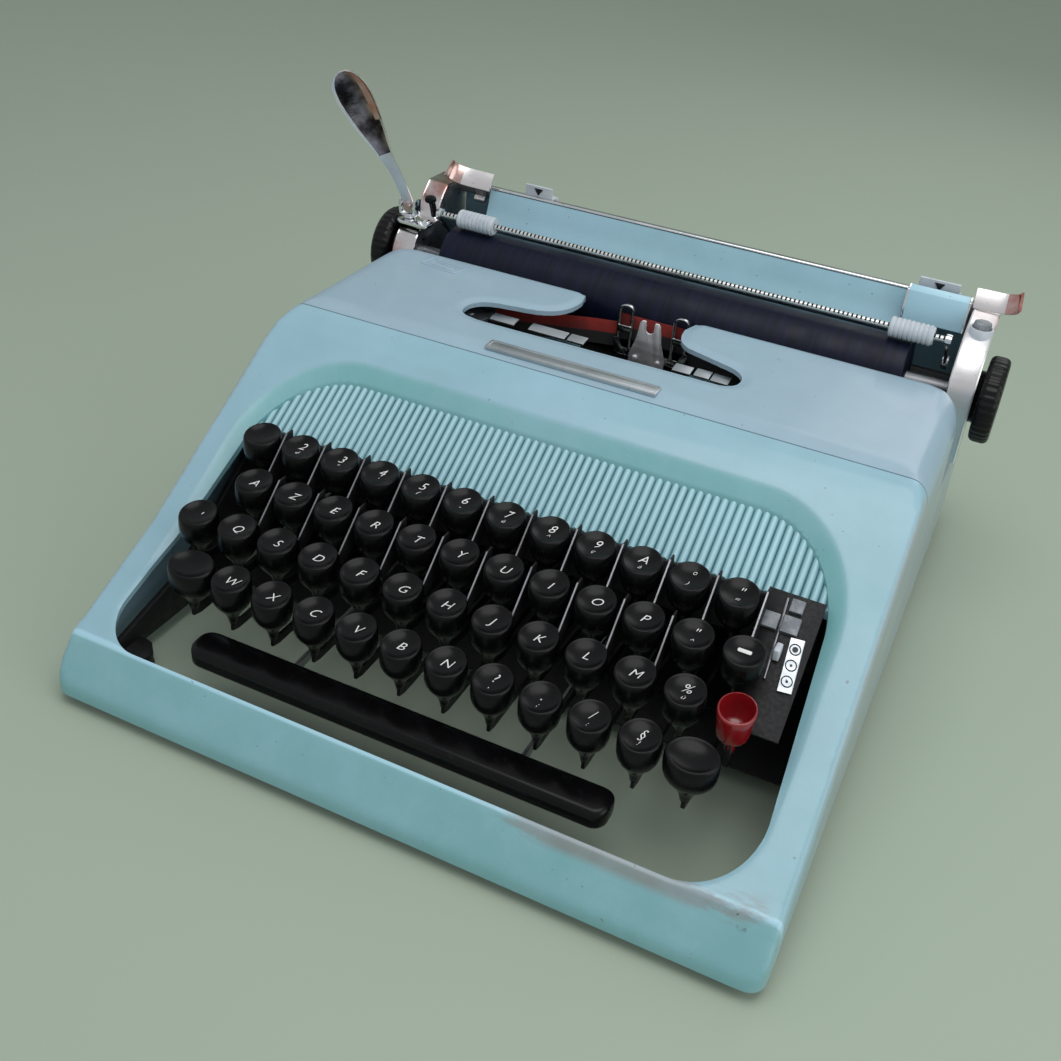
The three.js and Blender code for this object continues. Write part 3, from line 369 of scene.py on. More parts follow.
def metal_finish(name, base, tint, tint_share, rough_low, rough_high, pits=0.1):
    """Plated or bare metal with cloudy patches of a tint, brush lines and small pits; the tint is
    tarnish on most metals and a painted dark reflection on the spoon.
    """
    finish = Finish(name, Metallic=1.0)
    cloud = finish.noise(38.0, 4.0, 0.6)
    tone = finish.mix(finish.span(cloud, 0.42, 0.66, 0.0, tint_share), base, tint)
    pitted = finish.span(finish.noise(700.0, 2.0), 0.68, 0.74)
    finish.colour(finish.mix(finish.calc("MULTIPLY", pitted, 0.6), tone, shade(base, 0.25)))
    finish.rough(finish.span(finish.noise(120.0, 5.0, 0.7, (0.2, 2.0, 2.0)), 0.3, 0.7,
                             rough_low, rough_high))
    finish.bump(finish.calc("SUBTRACT", finish.noise(260.0, 3.0, 0.6, (0.15, 3.0, 3.0)), pitted),
                pits, 0.0002)
    return finish.material


def platen_finish(base):
    """Hard rubber with faint lighter bands round it, changing along its length, and patchy gloss."""
    finish = Finish("platen_rubber", IOR=1.3, Coat_Weight=0.03, Coat_Roughness=0.3)
    bands = finish.noise(160.0, 3.0, 0.6, (2.5, 0.2, 0.2))
    finish.colour(finish.mix(finish.span(bands, 0.35, 0.7), base, shade(base, 2.2)))
    finish.rough(finish.span(finish.noise(60.0, 4.0), 0.3, 0.7, 0.34, 0.55))
    finish.bump(finish.noise(1400.0, 2.0), 0.12, 0.0003)
    return finish.material


def ribbon_finish(name, upper, middle_z):
    """Inked cloth, red above and black below, with its weave."""
    finish = Finish(name, IOR=1.4, Sheen_Weight=0.4, Sheen_Roughness=0.5)
    split = finish.span(finish.along("Z"), middle_z - 0.0004, middle_z + 0.0004)
    worn = finish.mix(finish.span(finish.noise(90.0, 4.0), 0.3, 0.7), upper, shade(upper, 0.45))
    finish.colour(finish.mix(split, (0.006, 0.006, 0.007), worn))
    weave = finish.calc("MULTIPLY",
                        finish.calc("SINE", finish.calc("MULTIPLY", finish.along("X"), 9000.0)),
                        finish.calc("SINE", finish.calc("MULTIPLY", finish.along("Z"), 9000.0)))
    finish.rough(finish.span(finish.noise(70.0), 0.3, 0.7, 0.62, 0.85))
    finish.bump(weave, 0.35, 0.0003)
    return finish.material


def scale_finish():
    """The bail's rod: plated, with a row of black marks along its top."""
    finish = Finish("bail_scale", Metallic=0.75)
    pitch = 2.1 * MM
    step = finish.calc("FRACT", finish.calc("DIVIDE", finish.along("X"), pitch))
    off_centre = finish.calc("ABSOLUTE", finish.calc("SUBTRACT", step, 0.5))
    mark = finish.calc("LESS_THAN", off_centre, 0.2)
    top = finish.span(finish.along("Z"), BAIL_MARKS - 0.0003, BAIL_MARKS + 0.0001)
    white = finish.mix(finish.span(finish.noise(80.0), 0.3, 0.7),
                       (0.8, 0.82, 0.8), (0.62, 0.68, 0.66))
    finish.colour(finish.mix(finish.calc("MULTIPLY", mark, top), white, (0.01, 0.01, 0.012)))
    finish.rough(finish.span(finish.noise(150.0, 4.0), 0.3, 0.7, 0.18, 0.36))
    finish.bump(finish.noise(600.0), 0.05, 0.0002)
    return finish.material


def enamel_finish(name, base, grain):
    """Satin black enamel on inner metal work, with dust in its grain."""
    finish = Finish(name, IOR=1.45)
    grains = finish.noise(grain, 4.0, 0.6)
    tone = finish.mix(finish.span(grains, 0.35, 0.75), base, shade(base, 1.9))
    dusty = finish.span(finish.noise(45.0, 5.0, 0.7), 0.5, 0.85, 0.0, 0.02)
    finish.colour(finish.mix(dusty, tone, (0.3, 0.28, 0.25)))
    finish.rough(finish.span(grains, 0.3, 0.7, 0.48, 0.7))
    finish.bump(grains, 0.2, 0.0003)
    return finish.material


def mottled_finish(name, base, other, low, high):
    """Aged pale plastic with a grey mottle."""
    finish = Finish(name, IOR=1.48, Coat_Weight=0.1, Coat_Roughness=0.3)
    mottle = finish.noise(180.0, 5.0, 0.7)
    finish.colour(finish.mix(finish.span(mottle, low, high), base, other))
    finish.rough(finish.span(mottle, 0.3, 0.7, 0.38, 0.6))
    finish.bump(mottle, 0.15, 0.0004)
    return finish.material


def floor_finish(base):
    """A plain matt floor with a very faint grain."""
    finish = Finish("studio_floor", IOR=1.4)
    finish.colour(finish.mix(finish.noise(3.0, 2.0), base, shade(base, 1.04)))
    finish.rough(finish.span(finish.noise(20.0), 0.2, 0.8, 0.75, 0.9))
    return finish.material


BAIL_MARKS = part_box("paper_bail")[1].z - 0.0018


def make_finishes():
    colours = bpy.context.scene.typewriter_colours
    ribbon_low, ribbon_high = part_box("ribbon_left")
    FINISHES.update({
        "paint": paint_finish("housing_enamel", tuple(colours.paint), tuple(colours.teal), True),
        "deck": paint_finish("cover_enamel", tuple(colours.deck), tuple(colours.paint), False),
        # The paper table takes the housing paint made lighter: painted light on the table.
        "table": paint_finish("lightened_table_enamel", shade(colours.paint, 1.3), tuple(colours.teal), False),
        "ribs": rib_finish((0.36, 0.62, 0.68), (0.02, 0.12, 0.16)),
        "inside": enamel_finish("inner_enamel", (0.008, 0.009, 0.01), 500.0),
        "black": plastic_finish("key_plastic", tuple(colours.key), 0.2, 0.32, 0.01, 0.0),
        "knob": plastic_finish("knob_plastic", shade(colours.key, 1.3), 0.24, 0.4, 0.01, 0.1),
        "red": plastic_finish("tab_plastic", tuple(colours.tab), 0.12, 0.26, 0.015, 0.5),
        "legend": mottled_finish("legend_filling", tuple(colours.legend), shade(colours.legend, 0.8),
                                 0.4, 0.8),
        "chrome": metal_finish("chrome_plate", (0.82, 0.84, 0.86), (0.62, 0.66, 0.7), 0.5,
                               0.07, 0.2),
        "satin": metal_finish("satin_plate", (0.9, 0.89, 0.89), (0.78, 0.7, 0.7), 0.5,
                              0.3, 0.44, 0.03),
        # The spoon's chrome is painted dark and reddish: a painted reflection of dark surroundings.
        "spoon": metal_finish("spoon_chrome_dark_reflection", (0.5, 0.38, 0.38), (0.03, 0.022, 0.024), 1.0,
                              0.1, 0.3, 0.3),
        "warm": metal_finish("worn_chrome", (0.76, 0.74, 0.74), (0.5, 0.2, 0.16), 0.8,
                             0.08, 0.24, 0.2),
        # A reddish chrome; on the return handle's right top edge it is a painted reddish highlight.
        "copper": metal_finish("reddish_chrome", (0.55, 0.2, 0.16), (0.72, 0.6, 0.56), 0.7, 0.12, 0.3),
        "steel": metal_finish("bare_steel", (0.42, 0.43, 0.45), (0.22, 0.22, 0.22), 0.7, 0.25, 0.45),
        "dark_steel": metal_finish("oiled_steel", (0.06, 0.06, 0.065), (0.02, 0.02, 0.02), 0.8,
                                   0.35, 0.55),
        "enamel": enamel_finish("black_enamel", (0.006, 0.006, 0.007), 350.0),
        "platen": platen_finish(tuple(colours.platen)),
        "pale": mottled_finish("pale_plastic", (0.62, 0.67, 0.72), (0.48, 0.52, 0.58), 0.35, 0.8),
        "button": mottled_finish("grey_plastic", (0.16, 0.18, 0.2), (0.32, 0.34, 0.37), 0.42, 0.66),
        "plate": metal_finish("silver_plate", (0.56, 0.6, 0.63), (0.4, 0.43, 0.45), 0.6, 0.3, 0.48),
        "bright": metal_finish("matt_plate", (0.92, 0.93, 0.95), (0.8, 0.82, 0.85), 0.5,
                               0.5, 0.65, 0.03),
        "scale": scale_finish(),
        "cloth": ribbon_finish("inked_cloth", tuple(colours.ribbon),
                               (ribbon_low.z + ribbon_high.z) / 2),
        "cloth_middle": ribbon_finish("inked_cloth_middle", tuple(colours.ribbon),
                                      sum(corner.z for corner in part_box("ribbon_middle")) / 2),
        "rubber": enamel_finish("foot_rubber", (0.012, 0.012, 0.013), 900.0),
        "mark": enamel_finish("printed_mark", (0.004, 0.004, 0.005), 700.0),
        "floor": floor_finish(tuple(colours.floor)),
    })


# ------------------------------------------------------------------ shapes

PLACES = {"X": lambda a, b, c: at(c, a, b), "Y": lambda a, b, c: at(a, c, b),
          "Z": lambda a, b, c: at(a, b, c)}


def rounded(x0, x1, y0, y1, radii, steps=6):
    """A rectangle's outline with its own corner radius at each corner, from x0, y0 round."""
    corners = [(x0, y0, 1, 1, 180), (x1, y0, -1, 1, 270), (x1, y1, -1, -1, 0), (x0, y1, 1, -1, 90)]
    outline = []
    for (x, y, side_x, side_y, start), radius in zip(corners, radii):
        for step in range(steps + 1):
            angle = math.radians(start + 90 * step / steps)
            outline.append((x + side_x * radius + radius * math.cos(angle),
                            y + side_y * radius + radius * math.sin(angle)))
    return outline


def smooth_path(points, per=6):
    """A path through the points with soft turns."""
    points = [Vector(point) for point in points]
    padded = [points[0] * 2 - points[1], *points, points[-1] * 2 - points[-2]]
    path = []
    for i in range(1, len(padded) - 2):
        a, b, c, d = padded[i - 1:i + 3]
        for step in range(per):
            t = step / per
            path.append(0.5 * (2 * b + (c - a) * t + (2 * a - 5 * b + 4 * c - d) * t * t
                               + (3 * b - a - 3 * c + d) * t ** 3))
    path.append(points[-1])
    return path


def round_edges(bm, width, segments=2, least=28):
    edges = [edge for edge in bm.edges
             if len(edge.link_faces) == 2 and edge.calc_face_angle(0) > math.radians(least)]
    bmesh.ops.bevel(bm, geom=edges, offset=width * MM, segments=segments, profile=0.5,
                    affect="EDGES", clamp_overlap=True)


class Shape:
    """Closed solids in millimetres, gathered into one mesh."""

    def __init__(self):
        self.bm = bmesh.new()

    def gather(self, part, slot):
        bmesh.ops.recalc_face_normals(part, faces=part.faces)
        for face in part.faces:
            face.material_index = slot
        mesh = bpy.data.meshes.new("part")
        part.to_mesh(mesh)
        part.free()
        self.bm.from_mesh(mesh)
        bpy.data.meshes.remove(mesh)
        return self

    def prism(self, outline, low, high, axis="Z", edge=0.0, segments=2, slot=0):
        """An outline carried along an axis, with its edges rounded."""
        part = bmesh.new()
        rings = [[part.verts.new(PLACES[axis](a, b, c)) for a, b in outline] for c in (low, high)]
        count = len(outline)
        part.faces.new(rings[0])
        part.faces.new(list(reversed(rings[1])))
        for i in range(count):
            j = (i + 1) % count
            part.faces.new((rings[0][j], rings[0][i], rings[1][i], rings[1][j]))
        bmesh.ops.recalc_face_normals(part, faces=part.faces)
        if edge:
            round_edges(part, edge, segments)
        return self.gather(part, slot)

    def block(self, low, high, edge=0.3, segments=2, slot=0):
        return self.prism([(low[0], low[1]), (high[0], low[1]), (high[0], high[1]),
                           (low[0], high[1])], low[2], high[2], "Z", edge, segments, slot)

    def turned(self, profile, centre, axis="X", steps=40, slot=0, flutes=0, flute_depth=0.0,
               fluted=()):
        """A profile of (radius, distance along) turned about an axis through centre."""
        part = bmesh.new()
        rings = []
        for index, (radius, along) in enumerate(profile):
            count = 1 if radius < 1e-6 else steps
            ring = []
            for step in range(count):
                angle = 2 * math.pi * step / steps
                r = radius
                if index in fluted:
                    r -= flute_depth * (0.5 + 0.5 * math.cos(angle * flutes))
                side, up = r * math.cos(angle), r * math.sin(angle)
                spot = {"X": (along, side, up), "Y": (side, along, up), "Z": (side, up, along)}[axis]
                ring.append(part.verts.new(at(*(Vector(centre) + Vector(spot)))))
            rings.append(ring)
        closed = len(rings[0]) > 1
        pairs = list(zip(rings, rings[1:])) + ([(rings[-1], rings[0])] if closed else [])
        for first, second in pairs:
            for step in range(steps):
                after = (step + 1) % steps
                if len(first) == 1 and len(second) == 1:
                    continue
                if len(first) == 1:
                    part.faces.new((first[0], second[step], second[after]))
                elif len(second) == 1:
                    part.faces.new((first[step], second[0], first[after]))
                else:
                    part.faces.new((first[step], second[step], second[after], first[after]))
        return self.gather(part, slot)

    def swept(self, section, path, across=(1, 0, 0), slot=0, sizes=None, loop=False):
        """A closed section of (across, outward) carried along a path."""
        part = bmesh.new()
        path = [Vector(point) for point in path]
        rings = []
        last = len(path) - 1
        for index, point in enumerate(path):
            if loop:
                before, after = path[index - 1], path[(index + 1) % len(path)]
            else:
                before, after = path[max(index - 1, 0)], path[min(index + 1, last)]
            along = (after - before).normalized()
            side = (Vector(across) - along * along.dot(Vector(across))).normalized()
            out = side.cross(along)
            size = sizes[index] if sizes else (1, 1)
            rings.append([part.verts.new(at(*(point + side * u * size[0] + out * v * size[1])))
                          for u, v in section])
        count = len(section)
        pairs = list(zip(rings, rings[1:])) + ([(rings[-1], rings[0])] if loop else [])
        for first, second in pairs:
            for i in range(count):
                j = (i + 1) % count
                part.faces.new((first[i], first[j], second[j], second[i]))
        if not loop:
            part.faces.new(list(reversed(rings[0])))
            part.faces.new(rings[-1])
        return self.gather(part, slot)

    def wire(self, path, radius, steps=10, slot=0, loop=False, across=(1, 0, 0)):
        circle = []
        for i in range(steps):
            angle = 2 * math.pi * i / steps
            circle.append((radius * math.cos(angle), radius * math.sin(angle)))
        return self.swept(circle, path, across, slot, None, loop)

    def mesh(self, name, sharp=38):
        mesh = bpy.data.meshes.new(name)
        self.bm.to_mesh(mesh)
        self.bm.free()
        finish_mesh(mesh, sharp)
        return mesh


def finish_mesh(mesh, sharp=38):
    mesh.polygons.foreach_set("use_smooth", [True] * len(mesh.polygons))
    mesh.set_sharp_from_angle(angle=math.radians(sharp))


def add_piece(name, mesh, finishes, body, cad=(), where=None):
    """Puts a mesh in the scene as a piece that rides on a body."""
    if not mesh.materials:
        for finish in finishes.split():
            mesh.materials.append(FINISHES[finish])
    piece = bpy.data.objects.new(name, mesh)
    bpy.context.scene.collection.objects.link(piece)
    if where is not None:
        piece.location = where
    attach(piece, body)
    if cad:
        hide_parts(*([cad] if isinstance(cad, str) else cad))
    return piece


def dress_node(node, finish, edge=0.0003):
    """Gives a CAD node that stays a finish and softly rounded edges."""
    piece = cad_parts[node]
    piece.data.materials.clear()
    piece.data.materials.append(FINISHES[finish])
    piece.data.polygons.foreach_set("use_smooth", [True] * len(piece.data.polygons))
    weld = piece.modifiers.new("weld", "WELD")
    weld.merge_threshold = 0.00002
    bevel = piece.modifiers.new("edges", "BEVEL")
    bevel.width = edge
    bevel.segments = 2
    bevel.limit_method = "ANGLE"
    bevel.angle_limit = math.radians(32)
    bevel.harden_normals = True


def worked(mesh, modifiers):
    """A mesh after some modifiers; each is (kind, settings)."""
    piece = bpy.data.objects.new("work", mesh)
    bpy.context.scene.collection.objects.link(piece)
    for kind, settings in modifiers:
        modifier = piece.modifiers.new(kind, kind)
        for key, value in settings.items():
            setattr(modifier, key, value)
    graph = bpy.context.evaluated_depsgraph_get()
    made = bpy.data.meshes.new_from_object(piece.evaluated_get(graph))
    bpy.data.objects.remove(piece)
    bpy.data.meshes.remove(mesh)
    return made


def carved(mesh, tool_meshes, operation="DIFFERENCE"):
    """A closed mesh cut by, or kept inside, other closed meshes."""
    tools = []
    for tool_mesh in tool_meshes:
        tool = bpy.data.objects.new("tool", tool_mesh)
        bpy.context.scene.collection.objects.link(tool)
        tools.append(tool)
    made = worked(mesh, [("BOOLEAN", {"object": tool, "operation": operation, "solver": "MANIFOLD"})
                         for tool in tools])
    for tool in tools:
        tool_mesh = tool.data
        bpy.data.objects.remove(tool)
        bpy.data.meshes.remove(tool_mesh)
    return made


def points_of(mesh):
    points = np.zeros(len(mesh.vertices) * 3)
    mesh.vertices.foreach_get("co", points)
    return (points.reshape(-1, 3) - np.array(ORIGIN)) / MM


def set_points(mesh, points):
    mesh.vertices.foreach_set("co", (points * MM + np.array(ORIGIN)).ravel())
    mesh.update()


# ------------------------------------------------------------------ housing

SLOPE = [(-148, 22), (-103, 44), (-13, DECK_HEIGHT - 7)]
SIDE_OUTLINE = [
    (BODY_FRONT, -20), (BODY_FRONT, 2), (BODY_FRONT + 1.0, 5.5), (CREASE, 20.6), *SLOPE,
    (-4, DECK_HEIGHT - 2.6), (8, DECK_HEIGHT),
    (DECK_REAR, DECK_HEIGHT), (DECK_REAR, TAIL_HEIGHT), (BODY_REAR - 12, TAIL_HEIGHT),
    (BODY_REAR - 3, TAIL_HEIGHT - 5), (BODY_REAR, TAIL_HEIGHT - 14), (BODY_REAR, -20)]
SHOULDER = 12
DECK_CORNER = 20
VOXEL = 1.5


def slope_height(y):
    """Height of the housing's slope above the keys."""
    return SLOPE[1][1] + (y - SLOPE[1][0]) * (SLOPE[2][1] - SLOPE[1][1]) / (SLOPE[2][0] - SLOPE[1][0])


def cut_out_outline():
    """Plan of the opening round the type guide."""
    runs = [((-38.5, DECK_REAR + 9),), ((-34, 77),), ((-34, 57), (-52, 54)), ((-66, 51.5),),
            ((-80, 48), (-76, 34)), ((-73, 29.5), (-61, 29.5)), ((50, 31),), ((58, 33), (57, 41)),
            ((56, 48), (48, 51)), ((27, 58),), ((19, 62), (18.6, 76)), ((24, DECK_REAR + 9),)]
    outline = []
    for run in runs:
        if len(run) == 1:
            outline.append(Vector(run[0]))
            continue
        start, control, end = outline[-1], Vector(run[0]), Vector(run[1])
        for step in range(1, 9):
            t = step / 8
            outline.append(start * (1 - t) ** 2 + control * 2 * t * (1 - t) + end * t * t)
    return [tuple(point) for point in outline]


def well_distance(points):
    """Signed distance in plan from the keyboard opening's edge, negative inside."""
    middle = (CREST_FRONT + WELL_REAR) / 2
    half = (WELL_REAR - CREST_FRONT) / 2
    centre = (CREST_LEFT + CREST_RIGHT) / 2
    front_radius = np.where(points[:, 0] < centre, CREST_LEFT_RADIUS, CREST_RIGHT_RADIUS)
    radius = np.where(points[:, 1] < middle, front_radius, CREST_REAR_RADIUS)
    over_x = np.abs(points[:, 0] - centre) - (CREST_RIGHT - CREST_LEFT) / 2 + radius
    over_y = np.abs(points[:, 1] - middle) - half + radius
    outside = np.hypot(np.maximum(over_x, 0), np.maximum(over_y, 0))
    return outside + np.minimum(np.maximum(over_x, over_y), 0) - radius


def rim_share(y):
    """How much of its full width the opening's rim has: less and less towards the front."""
    return 0.16 + 0.84 * np.clip((y + 118) / 48, 0, 1)


def opening_outline(inset):
    """Plan of the keyboard opening inside its crest."""
    crest = rounded(CREST_LEFT, CREST_RIGHT, CREST_FRONT, WELL_REAR,
                    (CREST_LEFT_RADIUS, CREST_RIGHT_RADIUS) + (CREST_REAR_RADIUS,) * 2, 14)
    outline = []
    for index, (x, y) in enumerate(crest):
        after, before = crest[(index + 1) % len(crest)], crest[index - 1]
        along = Vector((after[0] - before[0], after[1] - before[1])).normalized()
        move = inset * float(rim_share(y))
        outline.append((x - along.y * move, y + along.x * move))
    return outline


def outline_distance(points, outline):
    """Distance in plan from an outline's nearest edge."""
    nearest = np.full(len(points), 1e9)
    for start, end in zip(outline, outline[1:]):
        a, b = np.array(start), np.array(end)
        share = np.clip(((points[:, :2] - a) @ (b - a)) / ((b - a) @ (b - a)), 0, 1)
        away = points[:, :2] - a - share[:, None] * (b - a)
        nearest = np.minimum(nearest, np.linalg.norm(away, axis=1))
    return nearest


def housing_block():
    """The housing's outer form as one solid with soft edges."""
    block = Shape().prism(SIDE_OUTLINE, -HALF_BODY, HALF_BODY, "X").mesh("block")
    plan = rounded(-HALF_BODY, HALF_BODY, BODY_FRONT, BODY_REAR, (7, 7, 16, 16), 8)
    block = carved(block, [Shape().prism(plan, -40, 140).mesh("plan")], "INTERSECT")
    tools = []
    for side in (-1, 1):
        edge, top = side * HALF_BODY, DECK_HEIGHT
        shoulder = [(edge + side * 3, top + 3), (edge + side * 3, top - SHOULDER)]
        for step in range(9):
            angle = math.radians(90 * step / 8)
            shoulder.append((edge - side * SHOULDER * (1 - math.cos(angle)),
                             top - SHOULDER * (1 - math.sin(angle))))
        shoulder.append((edge - side * SHOULDER, top + 3))
        tools.append(Shape().prism(shoulder, -60, DECK_REAR + 20, "Y").mesh("shoulder"))
        corner = [(edge + side * 3, DECK_REAR + 3), (edge + side * 3, DECK_REAR - DECK_CORNER)]
        for step in range(10):
            angle = math.radians(90 * step / 9)
            corner.append((edge - side * DECK_CORNER * (1 - math.cos(angle)),
                           DECK_REAR - DECK_CORNER * (1 - math.sin(angle))))
        corner.append((edge - side * DECK_CORNER, DECK_REAR + 3))
        tools.append(Shape().prism(corner, TAIL_HEIGHT, DECK_HEIGHT + 30).mesh("corner"))
    return carved(block, tools)


def housing_sheet():
    """The pressed sheet, rolled down round its openings, before they are cut."""
    sizes = bpy.context.scene.typewriter_housing
    mesh = worked(housing_block(), [
        ("REMESH", {"mode": "VOXEL", "voxel_size": VOXEL * MM}),
        ("SMOOTH", {"factor": 0.5, "iterations": sizes.softness})])
    bm = bmesh.new()
    bm.from_mesh(mesh)
    bmesh.ops.bisect_plane(bm, geom=[*bm.verts, *bm.edges, *bm.faces], plane_co=at(0, 0, 0.05),
                           plane_no=(0, 0, -1), clear_outer=True, dist=1e-7)
    bm.to_mesh(mesh)
    bm.free()
    points = points_of(mesh)
    normals = np.zeros(len(mesh.vertices) * 3)
    mesh.vertices.foreach_get("normal", normals)
    upward = np.clip(normals.reshape(-1, 3)[:, 2] * 3, 0, 1)
    width, drop = sizes.rim_width / MM, sizes.rim_drop / MM
    away = well_distance(points)
    share = rim_share(points[:, 1])
    rim = np.clip((1.0 - away) / (width * share + 1.0), 0, 1.2)
    points[:, 2] -= drop * share * rim ** 1.15 * upward
    near = outline_distance(points, cut_out_outline())
    lip = np.clip(1 - near / 4.5, 0, 1)
    deck = (points[:, 2] > DECK_HEIGHT - 8) & (points[:, 1] > 5)
    points[:, 2] -= 0.9 * lip ** 2 * (3 - 2 * lip) * deck
    set_points(mesh, points)
    return worked(mesh, [("SOLIDIFY", {"thickness": sizes.sheet, "offset": -1.0,
                                       "material_offset": 1, "material_offset_rim": 0})])


def make_housing():
    sizes = bpy.context.scene.typewriter_housing
    inset = sizes.rim_width / MM
    sheet = housing_sheet()
    well = opening_outline(inset)
    window = rounded(-HALF_BODY + 8, HALF_BODY - 8, DECK_HEIGHT - 28, DECK_HEIGHT - 4.5,
                     (1, 1, 1, 1), 2)
    sheet = carved(sheet, [
        Shape().prism(well, -10, DECK_HEIGHT + 20).mesh("well"),
        Shape().prism(cut_out_outline(), DECK_HEIGHT - 40, DECK_HEIGHT + 20).mesh("cut_out"),
        Shape().prism(window, DECK_REAR - 16, DECK_REAR + 10, "Y").mesh("window")])
    reach = HALF_BODY + 5
    cover = carved(sheet.copy(), [Shape().block(
        (-reach, SEAM_SLOT, COVER_EDGE), (reach, DECK_REAR + 6, DECK_HEIGHT + 9), 0).mesh("side")],
        "INTERSECT")
    shell = carved(sheet, [Shape().block(
        (-reach, 0, COVER_EDGE - SEAM_SLOT), (reach, DECK_REAR + 6, DECK_HEIGHT + 9), 0).mesh("side")])
    for name, mesh, finish, body, node in (
            ("housing", shell, "paint", "machine", "body_shell"),
            ("top_cover", cover, "deck", "cover", "ribbon_cover")):
        mesh.materials.clear()
        mesh.materials.append(FINISHES[finish])
        mesh.materials.append(FINISHES["inside"])
        points = points_of(mesh)
        away = well_distance(points)
        # The painted shade band round the opening's inner rim, fading out towards the front.
        rim_shade_band = np.clip((1.2 - away) / 1.6, 0, 1) * np.clip((points[:, 1] + 100) / 45, 0, 1)
        mesh.attributes.new("rim", "FLOAT", "POINT").data.foreach_set("value", rim_shade_band)
        finish_mesh(mesh, 40)
        add_piece(name, mesh, finish, body, node)


def make_cover_details():
    top = DECK_HEIGHT
    low, high = box_mm("name_plate")
    plate = Shape().prism(rounded(low.x, high.x, low.y, high.y, (0.8,) * 4, 3), top - 0.6, high.z - 0.2,
                          "Z", 0.25)
    inner = rounded(low.x + 1.3, high.x - 1.3, low.y + 1.3, high.y - 1.3, (0.5,) * 4, 3)
    plate.wire([(x, y, high.z - 0.2) for x, y in inner], 0.18, 6, 0, True, (0, 0, 1))
    add_piece("name_strip", plate.mesh("name_strip"), "plate", "cover", "name_plate")
    mark = Shape()
    slant = 3
    for inset, height in ((0, 0.45), (2.6, 0.4)):
        corners = [(-119 + inset + slant * inset / 9, 71 + inset * 0.8),
                   (-99.5 - inset, 68.5 + inset * 0.9), (-97.5 - inset, 76.5 - inset * 0.8),
                   (-117 + inset, 79.5 - inset * 0.9)]
        path = []
        for start, end in zip(corners, corners[1:] + corners[:1]):
            path += [(start[0] + (end[0] - start[0]) * k / 6, start[1] + (end[1] - start[1]) * k / 6,
                      top) for k in range(1, 7)]
        mark.wire(path, height, 6, loop=True, across=(0, 0, 1))
    add_piece("embossed_mark", mark.mesh("embossed_mark"), "deck", "cover")


RIB_COLUMNS = 8
RIB_ROWS = 14


def make_ribs():
    """The ribbed panel above the keys, cut to the arch of the opening."""
    sizes = bpy.context.scene.typewriter_housing
    left = CREST_LEFT + sizes.rim_width / MM + 0.1
    right = CREST_RIGHT - sizes.rim_width / MM - 0.1
    rear = WELL_REAR - sizes.rim_width / MM
    radius = CREST_REAR_RADIUS - sizes.rim_width / MM
    columns, rows = sizes.ribs * RIB_COLUMNS, RIB_ROWS
    bm = bmesh.new()
    layers = {}
    groove = bm.verts.layers.float.new("groove")
    low_y = PANEL_LOW.y + 8.5
    for side in (0, 1):
        for i in range(columns + 1):
            x = left + (right - left) * i / columns
            over = max(x - right + radius, left + radius - x, 0)
            high_y = rear - radius + math.sqrt(max(radius ** 2 - over ** 2, 0))
            share = (i / RIB_COLUMNS) % 1
            rise = math.sin(math.pi * share) ** 0.85
            for j in range(rows + 1):
                y = low_y + (max(high_y, low_y + 0.5) - low_y) * j / rows
                z = slope_height(y) - sizes.rim_drop / MM - 0.9
                z += (rise - 1) * sizes.rib_height / MM if side == 0 else -4.2
                vert = bm.verts.new(at(x, y, z))
                # How deep in a groove a point lies; the rib finish paints shade by it.
                vert[groove] = (1 - rise) ** 1.3
                layers[side, i, j] = vert
    for i in range(columns):
        for j in range(rows):
            bm.faces.new((layers[0, i, j], layers[0, i + 1, j],
                          layers[0, i + 1, j + 1], layers[0, i, j + 1]))
            bm.faces.new((layers[1, i, j], layers[1, i, j + 1],
                          layers[1, i + 1, j + 1], layers[1, i + 1, j]))
        for j in (0, rows):
            bm.faces.new((layers[0, i, j], layers[0, i + 1, j], layers[1, i + 1, j], layers[1, i, j]))
    for i in (0, columns):
        for j in range(rows):
            bm.faces.new((layers[0, i, j], layers[0, i, j + 1], layers[1, i, j + 1], layers[1, i, j]))
    bmesh.ops.recalc_face_normals(bm, faces=bm.faces)
    mesh = bpy.data.meshes.new("rib_panel")
    bm.to_mesh(mesh)
    bm.free()
    finish_mesh(mesh, 50)
    add_piece("rib_panel", mesh, "ribs", "machine", "ribbed_panel")


# ------------------------------------------------------------------ keys

KEY_ROWS = {
    1: [" ", "2\né", "3\n\"", "4\n'", "5\n(", "6\n-", "7\nè", "8\n^", "9\nç", "A\nà", "°\n)", "\"\n="],
    2: list("AZERTYUIOP") + ["\"\n^"],
    3: list("QSDFGHJKLM") + ["%\nù"],
    4: list("WXCVBN") + ["?\n,", ".\n;", "/\n:", "§\n!"],
}
SINGLE_KEYS = [("backspace_key", "backspace", "black", 1.0, "-"), ("tab_key", "tab", "red", 0.95, ""),
               ("shift_lock_key", "shift_lock", "black", 1.0, "'"),
               ("shift_key_left", "shift_left", "black", 1.25, ""),
               ("shift_key_right", "shift_right", "black", 1.25, "")]
CAP_TILT = 0.19
KEY_REACH = 21
FULCRUM_Y, FULCRUM_Z = 60, 27
CAD_CAP_RADIUS = 7.8
CAD_CAP_FLAT = CAD_CAP_RADIUS * math.cos(math.pi / 8)


def tilt(y, z):
    """Key tops lean towards the typist, and their feet stay upright."""
    return z + CAP_TILT * y * min(max((z + 9) / 9, 0), 1)


